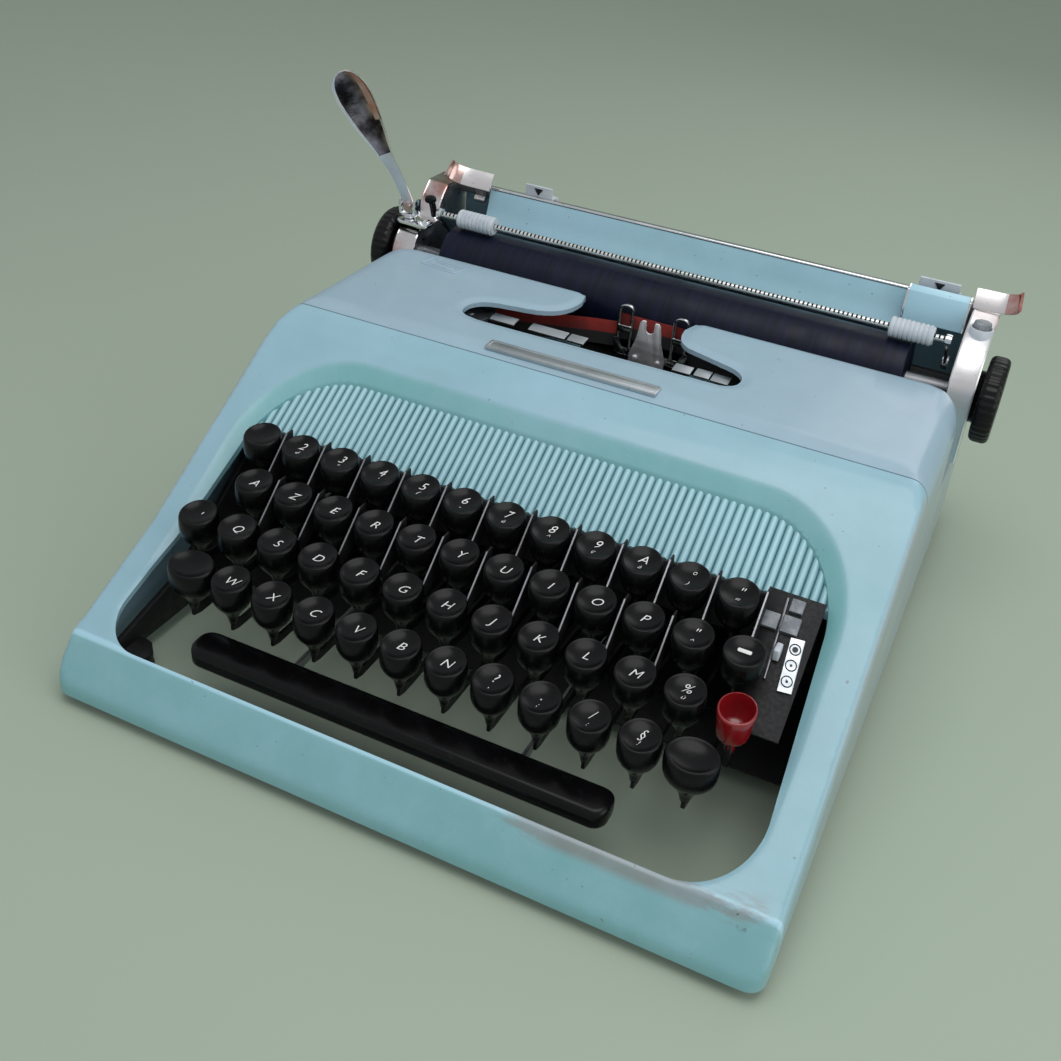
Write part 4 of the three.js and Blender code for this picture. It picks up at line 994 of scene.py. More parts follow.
def cap_mesh(name, stretch=1.0, deep=False):
    """A cup with a dished top, a rounded rim and a hollow taper to its foot."""
    keys = bpy.context.scene.typewriter_keys
    r, dish = keys.cap_radius / MM * (0.96 if deep else 1), keys.dish / MM * (6 if deep else 1)
    hollow = [(0, -dish), (0.3 * r, -dish * 0.94), (0.55 * r, -dish * 0.74), (0.72 * r, -dish * 0.46),
              (0.83 * r, -dish * 0.2)] if not deep else [
        (0, -dish), (0.62 * r, -dish * 0.97), (0.72 * r, -dish * 0.85), (0.82 * r, -dish * 0.45),
        (0.88 * r, -dish * 0.1)]
    outside = [(0.885 * r, -0.05), (0.93 * r, 0.0), (0.97 * r, -0.22), (r, -0.9), (r + 0.16, -2.6),
               (r + 0.2, -5.6), (r, -8.2), (0.93 * r, -10.2), (0.8 * r, -12), (0.62 * r, -13.7),
               (0.45 * r, -15.4), (0.32 * r, -17.2), (0.24 * r, -19.2), (0.18 * r, -21.4), (0, -22)]
    if deep:
        outside = outside[:3] + [(0.99 * r, -1), (0.95 * r, -4), (0.89 * r, -8), (0.83 * r, -11.5),
                                 (0.76 * r, -12.6), (0.3 * r, -13), (0.26 * r, -19), (0, -19.5)]
    shape = Shape().turned(hollow + outside, (0, 0, 0), "Z", 40)
    for vert in shape.bm.verts:
        x, y, z = (vert.co - ORIGIN) / MM
        x *= stretch
        vert.co = Vector((x, y, tilt(y, z))) * MM
    return shape.mesh(name, 60)


def legend_mesh(text, stretch=1.0):
    """Slanted letters that lie in the hollow of a key top."""
    keys = bpy.context.scene.typewriter_keys
    lines = text.split("\n")
    dish, r = keys.dish / MM, keys.cap_radius / MM
    sizes = [1.0, 0.62] if len(lines) == 2 else [1.0]
    shifts = [1.5, -2.6] if len(lines) == 2 else [0.0]
    bm = bmesh.new()
    for line, size, shift in zip(lines, sizes, shifts):
        curve = bpy.data.curves.new("letters", "FONT")
        curve.body = line
        curve.size = keys.legend * size
        curve.shear = 0.28
        curve.offset = -0.00006
        curve.extrude = 0.00007
        curve.resolution_u = 4
        curve.align_x = "CENTER"
        curve.align_y = "CENTER"
        letters = bpy.data.objects.new("letters", curve)
        bpy.context.scene.collection.objects.link(letters)
        graph = bpy.context.evaluated_depsgraph_get()
        mesh = bpy.data.meshes.new_from_object(letters.evaluated_get(graph))
        for vert in mesh.vertices:
            x, y, z = vert.co / MM
            y += shift
            ring = min(math.hypot(x, y) / (0.86 * r), 1)
            vert.co = Vector((x * 1.12, y, tilt(y, z - dish * (1 - ring ** 2) + 0.13))) * MM
        bm.from_mesh(mesh)
        bpy.data.objects.remove(letters)
        bpy.data.curves.remove(curve)
        bpy.data.meshes.remove(mesh)
    bmesh.ops.remove_doubles(bm, verts=bm.verts, dist=1e-6)
    mesh = bpy.data.meshes.new("legend")
    bm.to_mesh(mesh)
    bm.free()
    return mesh


def lever_outline(y, top):
    """Side view of a key lever, from the pivot rod to the foot of its key."""
    foot = top - KEY_REACH
    return [(y - 1.1, foot - 3.6), (y + 3, foot - 4.6), (FULCRUM_Y - 20, FULCRUM_Z - 2.4),
            (FULCRUM_Y - 2.8, FULCRUM_Z - 2), (FULCRUM_Y - 2.8, FULCRUM_Z + 2),
            (FULCRUM_Y - 20, FULCRUM_Z + 2.6), (y + 5, foot - 0.6), (y + 1.4, foot + 1.4),
            (y - 1.1, foot + 1.2)]


def make_row(row):
    labels = KEY_ROWS[row]
    low, high = box_mm(f"key_row_{row}")
    body = f"key_row_{row}"
    pitch = (high.x - low.x - 2 * CAD_CAP_FLAT) / (len(labels) - 1)
    y = low.y + CAD_CAP_FLAT
    levers = Shape()
    cap = cap_mesh("key_cap")
    for index, label in enumerate(labels):
        x = low.x + CAD_CAP_FLAT + index * pitch
        levers.prism(lever_outline(y, high.z), x - 0.7, x + 0.7, "X", 0.2, 1)
        where = at(x, y, high.z)
        add_piece(f"row_{row}_cap_{index + 1:02d}", cap, "black", body,
                  where=where)
        if label.strip():
            add_piece(f"row_{row}_legend_{index + 1:02d}", legend_mesh(label), "legend", body,
                      where=where)
    first = low.x + CAD_CAP_FLAT
    bar_y = FULCRUM_Y - 6 - (row - 1) * 4.5
    levers.block((first, bar_y - 1.2, FULCRUM_Z + 1), (first + pitch * (len(labels) - 1), bar_y + 1.2,
                                                   FULCRUM_Z + 4.5), 0.3)
    add_piece(f"row_{row}_levers", levers.mesh("levers"), "dark_steel", body, body)


def make_keys():
    for row in KEY_ROWS:
        make_row(row)
    for node, body, finish, stretch, label in SINGLE_KEYS:
        low, high = box_mm(node)
        x, y = (low.x + high.x) / 2, low.y + CAD_CAP_FLAT
        where = at(x, y, high.z)
        cap = cap_mesh(node + "_cup", stretch, finish == "red")
        add_piece(node + "_cup", cap, finish, body, node,
                  where)
        lever = Shape().prism(lever_outline(y, high.z), x - 0.8, x + 0.8, "X", 0.2, 1)
        if finish == "red":
            lever.prism([(y - 2, high.z - 26), (y + 2, high.z - 24), (y + 2, high.z - 14.5),
                         (y - 2, high.z - 14.5)], x - 1.2, x + 1.2, "X", 0.3, 1)
        add_piece(node + "_lever", lever.mesh(node + "_lever"), "dark_steel", body)
        if label:
            mesh = legend_mesh(label) if label != "-" else dash_mesh()
            add_piece(node + "_legend", mesh, "legend", body, where=where)


def dash_mesh():
    """The thick dash on the backspace key."""
    keys = bpy.context.scene.typewriter_keys
    shape = Shape().prism(rounded(-2.6, 2.6, 0.1, 1.7, (0.5,) * 4, 3), -0.07, 0.07)
    for vert in shape.bm.verts:
        x, y, z = (vert.co - ORIGIN) / MM
        ring = math.hypot(x, y) / (0.86 * keys.cap_radius / MM)
        vert.co = Vector((x, y, tilt(y, z - keys.dish / MM * (1 - ring ** 2) + 0.15))) * MM
    return shape.mesh("dash")


def make_space_bar():
    low, high = box_mm("space_bar")
    depth = 15
    x0, x1, y0, y1 = low.x, high.x, low.y, low.y + depth
    shape = Shape().prism(rounded(x0, x1, y0, y1, (5.5,) * 4, 5), high.z - 9, high.z, "Z", 2.2, 4)
    for vert in shape.bm.verts:
        x, y, z = (vert.co - ORIGIN) / MM
        if z > high.z - 4:
            middle = (y - (y0 + y1) / 2) / (depth / 2)
            vert.co.z -= 0.9 * middle * middle * MM
    for share in (0.22, 0.78):
        x = x0 + (x1 - x0) * share
        shape.prism([(y0 + 7, high.z - 9.5), (y0 + 7, high.z - 5), (FULCRUM_Y - 2.8, FULCRUM_Z + 2),
                     (FULCRUM_Y - 2.8, FULCRUM_Z - 2)], x - 0.7, x + 0.7, "X", 0.2, 1, slot=1)
    add_piece("space_key", shape.mesh("space_key", 30), "black steel", "space", "space_bar")


FIN_REACH = 11


def make_key_bed():
    """The comb between the keys, and a dark plate below the levers that stands in for the shade under
    the keys.
    """
    comb = Shape()
    for row in (1, 2):
        low, high = box_mm(f"key_row_{row}")
        count = len(KEY_ROWS[row])
        pitch = (high.x - low.x - 2 * CAD_CAP_FLAT) / (count - 1)
        y = low.y + CAD_CAP_FLAT
        for index in range(count - (row == 2)):
            x = low.x + CAD_CAP_FLAT + (index + 0.5) * pitch
            top = [(y - FIN_REACH, high.z - 12.5), (y + 4, high.z + 1.2)]
            comb.prism([(y - FIN_REACH + 2, high.z - 19), *top, (y + 8, high.z + 1.2),
                        (y + 8, high.z - 10)], x - 0.4, x + 0.4, "X", 0.15, 1)
            comb.swept([(-0.3, -0.3), (0.3, -0.3), (0.3, 0.2), (-0.3, 0.2)],
                       [(x, *top[0]), (x, *top[1])], slot=1)
    comb.prism([(-50.9, 72.5), (-50.9, 68.5), (-55, 54), (-56.5, 54), (-53.5, 68), (-52.2, 72.5)],
               CREST_LEFT + 8, CREST_RIGHT - 8, "X", 0.3)
    add_piece("key_comb", comb.mesh("key_comb"), "enamel steel", "machine")
    reach = HALF_BODY - 15
    # Painted shade: a dark plate under the levers fills the shade below the keyboard.
    bed = Shape().block((-reach, -72, 2), (reach, 74, 3.2), 0.4)
    for y in (-45, -10, 30, 70):
        bed.block((-reach + 3, y - 1, 3), (reach - 3, y + 1, 4.6), 0.3)
    add_piece("shade_plate", bed.mesh("shade_plate"), "enamel", "machine")


def make_selector():
    low, high = box_mm("selector_panel")
    run = Vector((0, high.y - low.y, high.z - low.z)).normalized()
    lean = math.atan2(run.z, run.y)
    panel = Shape()
    path = [(0, low.y + 0.5, low.z + 1), (0, -53, low.z + 1 + (-53 - low.y - 0.5) * run.z / run.y)]
    middle = (low.x - 8 + high.x) / 2
    half = (high.x - low.x + 8) / 2
    panel.swept([(-half, -0.8), (half, -0.8), (half, 0.6), (half - 0.3, 0.8), (-half + 0.3, 0.8),
                 (-half, 0.6)], [(middle, p[1], p[2]) for p in path])
    add_piece("selector_base", panel.mesh("selector_base"), "mark", "machine", "selector_panel")
    plate_low, plate_high = box_mm("selector_plate")
    start = Vector(((plate_low.x + plate_high.x) / 2 + 0.6, plate_low.y, plate_low.z + 0.6))
    end = start + run * 20.5 + Vector((-1.6, 0, 0))
    plate = Shape().swept([(-2.7, -0.4), (2.7, -0.4), (2.7, 0.25), (2.5, 0.45), (-2.5, 0.45),
                           (-2.7, 0.25)], [start, end])
    out = Vector((0, -math.sin(lean), math.cos(lean)))
    for share in (0.2, 0.5, 0.8):
        centre = start.lerp(end, share) + out * 0.5
        ring = []
        for k in range(20):
            angle = 2 * math.pi * k / 20
            ring.append(centre + Vector((2.0 * math.cos(angle), 0, 0))
                        + (end - start).normalized() * 2.0 * math.sin(angle))
        plate.wire(ring, 0.24, 6, 1, True, across=out)
        plate.wire([centre - out * 0.3, centre + out * 0.1], 1.1 if share > 0.7 else 0.5, 12, 1)
    add_piece("selector_scale", plate.mesh("selector_scale"), "plate dark_steel", "machine",
              "selector_plate")
    knob_low, knob_high = box_mm("selector_knob")
    knob = Shape().block(knob_low, knob_high, 0.6, 3)
    add_piece("selector_tip", knob.mesh("selector_tip"), "pale", "selector", "selector_knob")
    latches = Shape()
    for x, y, size in ((115.4, -57.5, 5), (115.4, -64, 6.5), (107.8, -64.2, 6)):
        foot = Vector((x, y, slope_height(y) + 0.9))
        latches.swept(rounded(-size / 2, size / 2, -1.4, 1.6, (0.4,) * 4, 2),
                      [foot - run * size / 2, foot + run * size / 2])
    latches.wire([(111.1, -55.5, slope_height(-55.5) + 1.0),
                  (112.9, -82.5, slope_height(-82.5) + 1.0)], 0.5, 8, 1)
    add_piece("panel_latches", latches.mesh("panel_latches"), "button steel", "machine")


# ------------------------------------------------------------------ type guide and ribbon


def bar(width, thick, edge=0.3):
    """A flat bar's section."""
    return rounded(-width / 2, width / 2, -thick / 2, thick / 2, (edge,) * 4, 2)


def make_guide():
    low, high = box_mm("type_guide")
    notch = [(2.3, high.z), (2.0, high.z - 4)]
    for step in range(1, 8):
        angle = math.pi * step / 8
        notch.append((2 * math.cos(angle), high.z - 4 - 2 * math.sin(angle)))
    notch += [(-2.0, high.z - 4), (-2.3, high.z)]
    front, back = high.y - 1.2, high.y
    plate = [(-9, low.z + 2), (9, low.z + 2), (9, 88), (6.4, 96), (5.2, high.z - 1.5), (4.2, high.z),
             *notch, (-4.2, high.z), (-5.2, high.z - 1.5), (-6.4, 96), (-9, 88)]
    guide = Shape().prism(plate, front, back, "Y", 0.3)
    guide.block((low.x, low.y, low.z), (high.x, high.y, low.z + 3), 0.5)
    for side in (-1, 1):
        guide.turned([(0, 0.2), (1.3, 0.2), (1.3, -0.6), (0.9, -0.9), (0, -0.9)],
                     (side * 6, front, 86), "Y", 14)
    add_piece("centre_guide", guide.mesh("centre_guide"), "bright", "machine", "type_guide")
    low, high = box_mm("ribbon_vibrator")
    holder = Shape()
    middle = (low.y + high.y) / 2
    for side in (-1, 1):
        loop = rounded(10.8, 17.2, low.z + 3, high.z - 0.8, (1.5, 1.5, 2.6, 2.6), 4)
        holder.swept(bar(2.6, 1.5), [(side * x, middle, z) for x, z in loop], (0, 1, 0), loop=True)
        holder.block((side * 14 - 3.4, low.y - 0.5, 96), (side * 14 + 3.4, low.y + 0.3, 99.5), 0.3)
        holder.prism([(side * 12.6, low.z + 1), (side * 17.8, low.z + 1), (side * 19.2, low.z + 8),
                      (side * 16.9, low.z + 9)], low.y, low.y + 1, "Y", 0.2)
    holder.block((-17, middle - 0.9, low.z), (17, middle + 0.9, low.z + 4), 0.4)
    add_piece("ribbon_holder", holder.mesh("ribbon_holder"), "chrome", "vibrator",
              "ribbon_vibrator")


def make_ribbon():
    low, high = box_mm("ribbon_middle")
    middle = (low.y + high.y) / 2
    strip = Shape().swept(bar(high.z - low.z, 0.16, 0.05),
                          [(low.x + (high.x - low.x) * k / 16, middle + 0.12 * math.sin(k * 1.1),
                            (low.z + high.z) / 2) for k in range(17)], (0, 0, 1))
    add_piece("typing_ribbon", strip.mesh("typing_ribbon"), "cloth_middle", "vibrator",
              "ribbon_middle")
    for side, name in ((-1, "left"), (1, "right")):
        low, high = box_mm(f"ribbon_{name}")
        start = (side * max(abs(low.x), abs(high.x)), low.y + 0.2)
        end = (side * min(abs(low.x), abs(high.x)), high.y - 0.2)
        path = [(start[0] + (end[0] - start[0]) * k / 20, start[1] + (end[1] - start[1]) * k / 20
                 + 0.25 * math.sin(k * 0.9), (low.z + high.z) / 2) for k in range(21)]
        strip = Shape().swept(bar(high.z - low.z, 0.16, 0.05), path, (0, 0, 1))
        add_piece(f"ribbon_run_{name}", strip.mesh("ribbon_run"), "cloth", "machine",
                  f"ribbon_{name}")


def make_spools():
    for name in ("left", "right"):
        low, high = box_mm(f"ribbon_spool_{name}")
        centre = ((low.x + high.x) / 2, (low.y + high.y) / 2, 0)
        r = (high.x - low.x) / 2
        flange = [(3, 0), (6, 0.2), (7, 0.9), (r - 4, 0.9), (r - 2, 0.3), (r, 0.3)]
        profile = [(0, low.z), *[(a, low.z + b) for a, b in flange], (r, low.z + 1.3),
                   (r - 4, low.z + 1.9), (6, low.z + 1.9), (6, high.z - 1.9),
                   (r - 4, high.z - 1.9), (r, high.z - 1.3),
                   *[(a, high.z - b) for a, b in reversed(flange)], (2.2, high.z), (1.8, high.z - 2),
                   (0, high.z - 2)]
        spool = Shape().turned(profile, centre, "Z", 48)
        for k in range(5):
            angle = 2 * math.pi * k / 5
            spot = (centre[0] + 13 * math.cos(angle), centre[1] + 13 * math.sin(angle), high.z - 1.1)
            spool.turned([(0, 0), (2.6, 0), (2.6, 0.5), (2.2, 0.7), (0, 0.7)], spot, "Z", 18)
        add_piece(f"spool_{name}", spool.mesh("spool"), "steel", f"spool_{name}",
                  f"ribbon_spool_{name}")
        wound = [(6.1, low.z + 2.2)]
        turns = 9
        for k in range(turns):
            z0 = low.z + 2.2 + (high.z - low.z - 4.4) * k / turns
            z1 = low.z + 2.2 + (high.z - low.z - 4.4) * (k + 1) / turns
            wound += [(17.6, z0 + 0.05), (18, (z0 + z1) / 2)]
        wound += [(17.6, high.z - 2.2), (6.1, high.z - 2.2)]
        roll = Shape().turned(wound, centre, "Z", 48)
        add_piece(f"wound_ribbon_{name}", roll.mesh("wound"), "mark", f"spool_{name}")


# ------------------------------------------------------------------ carriage


def carriage_band(side):
    """The bright channel round a carriage end, with rolled lips, and its web."""
    low, high = box_mm("carriage_end_right" if side > 0 else "carriage_end_left")
    if side > 0:
        edge = [(92, 72), (92, 99), (95, 112), (103, 122), (115, 128), (129, 131)]
    else:
        edge = [(92, 72), (92, 99), (95, 108), (101, 113.5), (115, 115), (123, 125), (129, 131)]
    inner, outer = (low.x, high.x) if side > 0 else (high.x, low.x)
    path = smooth_path([(0, *point) for point in edge], 6)
    web = [(point.y + 0.6, point.z - 0.6 * (index > 8)) for index, point in enumerate(path)]
    web += [(146, 130), (151, 124), (151, 72)]
    shape = Shape()
    shape.prism(web, min(inner, inner + side * 1.4), max(inner, inner + side * 1.4), "X", 0.3, slot=1)
    half = abs(outer - inner) / 2
    section = [(-half, -0.9), (half, -0.9), (half, 0.6), (half - 0.6, 0.95), (half - 1.4, 0.7),
               (-half + 1.4, 0.7), (-half + 0.6, 0.95), (-half, 0.6)]
    centred = [((inner + outer) / 2, point.y + 1.0, point.z - 0.3) for point in path]
    shape.swept(section, centred, (1, 0, 0), slot=0)
    shape.swept(bar(2 * half, 1.6, 0.4), [((inner + outer) / 2, 129, 130.6),
                                         ((inner + outer) / 2, 145.5, 130.4),
                                         ((inner + outer) / 2, 151, 123.5)], slot=0)
    for y, z, r in ((108, 99.5, 8.5), (138, 104, 3.2), (100, 84, 2.4), (146, 84, 2.4)):
        face = inner + side * 1.3
        shape.turned([(0, face), (r, face), (r, face + side * 1.1), (r - 0.7, face + side * 1.7),
                      (0, face + side * 1.7)], (0, y, z), "X", 28, slot=0)
    return shape


def make_carriage():
    for node in ("carriage_frame", "carriage_back"):
        dress_node(node, "inside" if node == "carriage_frame" else "paint",
                   0.0006)
    for node in ("carriage_rail_front", "carriage_rail_rear"):
        dress_node(node, "steel")
    dress_node("margin_rail", "steel")
    dress_node("platen_shaft", "steel", 0.0002)
    for side, name in ((-1, "left"), (1, "right")):
        mesh = carriage_band(side).mesh(f"end_band_{name}", 30)
        add_piece(f"end_band_{name}", mesh, "satin steel" if side > 0 else "warm steel",
                  "carriage", f"carriage_end_{name}")
    low, high = box_mm("end_button")
    x, y = (low.x + high.x) / 2, (low.y + high.y) / 2
    r = (high.x - low.x) / 2
    button = Shape().prism([(x + r * math.cos(math.radians(22.5 + 45 * k)),
                             y + r * math.sin(math.radians(22.5 + 45 * k))) for k in range(8)],
                           low.z, high.z - 1.5, "Z", 0.8, 2)
    add_piece("end_button_top", button.mesh("end_button_top", 30), "button", "button", "end_button")
    collar = Shape().turned([(r + 0.2, 125), (r + 1.2, 125), (r + 1.2, 129.6), (r + 0.9, 130),
                             (r + 0.5, 130), (r + 0.2, 129.7)], (x, y, 0), "Z", 24)
    add_piece("end_button_collar", collar.mesh("collar"), "pale", "carriage")


def make_platen():
    low, high = box_mm("platen")
    y, z, r = (low.y + high.y) / 2, (low.z + high.z) / 2, (high.z - low.z) / 2
    roller = Shape().turned([(0, low.x), (r - 3, low.x), (r - 2.4, low.x + 0.4), (r - 0.4, low.x + 0.4),
                             (r, low.x + 0.9), (r, high.x - 0.9), (r - 0.4, high.x - 0.4),
                             (r - 2.4, high.x - 0.4), (r - 3, high.x), (0, high.x)], (0, y, z), "X", 96)
    add_piece("platen_roller", roller.mesh("platen_roller"), "platen", "platen", "platen")
    for side, name in ((-1, "left"), (1, "right")):
        low, high = box_mm(f"platen_knob_{name}")
        inner, outer = (low.x, high.x) if side > 0 else (high.x, low.x)
        r = (high.z - low.z) / 2
        rim = [(0, outer - side * 1.3), (8, outer - side * 1.3), (12.5, outer - side * 0.6),
               (14, outer - side * 0.1), (r - 2.6, outer), (r - 1.2, outer - side * 0.4),
               (r - 0.3, outer - side * 1.5), (r, outer - side * 2.6), (r, outer - side * 6.4),
               (r - 0.3, outer - side * 7.6), (r - 1.4, outer - side * 8.7), (r - 3, outer - side * 9),
               (12.4, outer - side * 9), (12, outer - side * 9.6), (12, inner + side * 1.2),
               (11.4, inner), (0, inner)]
        knob = Shape().turned(rim, (0, y, z), "X", 144, flutes=36, flute_depth=0.55,
                              fluted=(6, 7, 8, 9))
        add_piece(f"platen_grip_{name}", knob.mesh("platen_grip", 45), "knob", "platen",
                  f"platen_knob_{name}")


def make_bail():
    low, high = box_mm("paper_bail")
    y, z = low.y + 2.1, high.z - 2.2
    shape = Shape().wire([(low.x + 1, y, z), (high.x - 1, y, z)], 1.5, 24, 0, across=(0, 1, 0))
    for x in (-128.5, 131.5):
        shape.swept(bar(1.6, 5, 0.6), smooth_path([(x, 122, 106), (x, 118, 112), (x, 110, 118.5),
                                                   (x, y, z)], 6), slot=1)
        shape.turned([(0, x - 1.4), (3.2, x - 1.4), (3.4, x - 1.0), (3.4, x + 1.0), (3.2, x + 1.4),
                      (0, x + 1.4)], (0, 122, 106), "X", 20, slot=1)
        shape.turned([(0, x - 1.3), (2.7, x - 1.3), (2.9, x), (2.7, x + 1.3), (0, x + 1.3)],
                     (0, y, z), "X", 20, slot=1)
    add_piece("bail_bar", shape.mesh("bail_bar"), "scale chrome", "bail", "paper_bail")
    for name in ("left", "right"):
        low, high = box_mm(f"bail_roller_{name}")
        r = (high.z - low.z) / 2
        profile = [(1.7, low.x), (r - 0.6, low.x), (r - 0.2, low.x + 0.3)]
        grooves = 9
        width = (high.x - low.x - 1) / grooves
        for k in range(grooves):
            x = low.x + 0.5 + k * width
            profile += [(r, x + width * 0.18), (r, x + width * 0.72), (r - 0.55, x + width * 0.86)]
        profile += [(r - 0.6, high.x), (1.7, high.x)]
        roller = Shape().turned(profile, (0, (low.y + high.y) / 2, (low.z + high.z) / 2), "X", 32)
        add_piece(f"paper_roller_{name}", roller.mesh("paper_roller", 45), "pale",
                  f"bail_roller_{name}", f"bail_roller_{name}")


def make_paper_table():
    low, high = box_mm("paper_table")
    foot, head = Vector((0, low.y + 0.8, low.z + 0.6)), Vector((0, high.y - 0.8, high.z - 0.8))
    path = smooth_path([foot, foot.lerp(head, 0.4) + Vector((0, 0.9, 0)), head], 8)
    middle = (low.x + high.x) / 2
    table = Shape().swept(bar(high.x - low.x, 1.3, 0.4),
                          [(middle, p.y, p.z) for p in path], slot=0)
    table.wire([(low.x + 0.6, head.y, head.z), (high.x - 0.6, head.y, head.z)], 1.0, 10, 1,
               across=(0, 1, 0))
    add_piece("paper_rest", table.mesh("paper_rest"), "table chrome", "carriage", "paper_table")
    low, high = box_mm("table_end_cover")
    face = [(low.y + 0.2, low.z), (low.y + 4.5, low.z), (high.y, high.z - 1), (high.y - 0.6, high.z),
            (high.y - 5.5, high.z - 1.2)]
    cover = Shape().prism(face, low.x + 0.8, high.x - 0.8, "X", 0.7, 3, slot=0)
    for x in (low.x + 0.6, high.x - 0.6):
        cover.prism(face, x - 0.6, x + 0.6, "X", 0.3, slot=1)
    add_piece("rest_end_cover", cover.mesh("rest_end_cover"), "table chrome", "carriage",
              "table_end_cover")


def make_margin_stops():
    for name, side in (("left", -1), ("right", 1)):
        low, high = box_mm(f"margin_stop_{name}")
        x = (low.x + high.x) / 2
        half = (high.x - low.x) / 2
        slide = Shape()
        slide.block((low.x, 140.6, 122.5), (high.x, 147.2, 124.2), 0.4)
        slide.block((low.x, 140.1, 122.5), (high.x, 140.9, 131.0), 0.3)
        slide.block((low.x, 146.2, 122.5), (high.x, 147.2, 131.0), 0.3)
        slide.block((low.x + 1, 140.2, 129.7), (high.x - 1, 147.2, 131.3), 0.5)
        slide.swept(bar(half * 1.9, 1.4, 0.5), smooth_path([(x, 140.6, 129.8), (x, 139.9, 133),
                                                       (x, 139.6, high.z - 0.2)], 5))
        add_piece(f"margin_slide_{name}", slide.mesh("margin_slide"), "pale", f"margin_{name}",
                  f"margin_stop_{name}")
        mark = Shape().prism([(x - 2.4, 136.2), (x + 2.4, 136.2), (x, 132.6)],
                             138.55, 139.1, "Y", 0.1)
        add_piece(f"margin_mark_{name}", mark.mesh("margin_mark"), "mark", f"margin_{name}")


def make_levers():
    for name in ("left", "right"):
        low, high = box_mm(f"carriage_release_{name}")
        middle = (low.x + high.x) / 2
        width = high.x - low.x
        foot_x = middle + (-4 if name == "right" else 4)
        side = 1 if name == "right" else -1
        inner, outer = middle - side * width / 2, middle + side * width / 2
        tab = smooth_path([(inner - side * 3.5, 132.7, 135.6), (inner, 132.6, 135.8),
                           (middle, 132.2, 136.1), (outer - side * 4, 131.0, 137.1),
                           (outer - side * 1.2, 129.4, 138.6), (outer, 127.6, 140.6)], 6)
        lever = Shape()
        lever.swept(bar(9.6, 1.2, 0.5), tab[:16], across=(0, 0.5, 0.87), slot=1)
        lever.swept(bar(9.6, 1.2, 0.5), tab[15:], across=(0, 0.5, 0.87), slot=0)
        lever.swept(bar(5.5, 1.8, 0.5), smooth_path([(foot_x, 140, 122.8), (foot_x, 138, 129),
                                                    (foot_x, 136.6, 134)], 5), slot=1)
        lever.turned([(0, foot_x - 3), (1.7, foot_x - 3), (1.7, foot_x + 3), (0, foot_x + 3)],
                     (0, 139.0, 123.4), "X", 14, slot=1)
        add_piece(f"release_tab_{name}", lever.mesh("release_tab"), "copper satin", f"release_{name}",
                  f"carriage_release_{name}")
    spacer = Shape().wire(
        smooth_path([(-133.6, 109, 120.2), (-133.8, 107.6, 125), (-134, 105.8, 129.4)], 5), 1.7, 12, 0)
    spacer.turned([(0, 0), (2.6, 0.3), (3.1, 1.4), (2.8, 2.8), (1.6, 3.5), (0, 3.7)],
                  (-134, 105, 128.3), "Z", 20, 0)
    add_piece("line_lever", spacer.mesh("line_lever"), "black", "line_space", "line_space_lever")
    low, high = box_mm("return_lever_bracket")
    bracket = Shape().prism(rounded(low.x, high.x, low.y, high.y, (4, 1, 1, 4), 5),
                            low.z, high.z, "Z", 0.4)
    bracket.turned([(0, 0), (2.2, 0), (2.2, 0.8), (1.5, 1.3), (0, 1.3)],
                   (high.x - 4, (low.y + high.y) / 2, high.z - 0.2), "Z", 18)
    add_piece("lever_bracket", bracket.mesh("lever_bracket"), "chrome", "carriage",
              "return_lever_bracket")
    dress_node("return_lever_clevis", "chrome", 0.0005)
    make_return_arm()


SPOON = [(0, 2.4), (0.3, 2.4), (0.38, 2.9), (0.46, 4.2), (0.54, 5.9), (0.62, 7.5), (0.7, 8.7),
         (0.78, 9.2), (0.85, 8.6), (0.91, 7.1), (0.96, 5.2), (0.99, 3.4), (1, 1.6)]


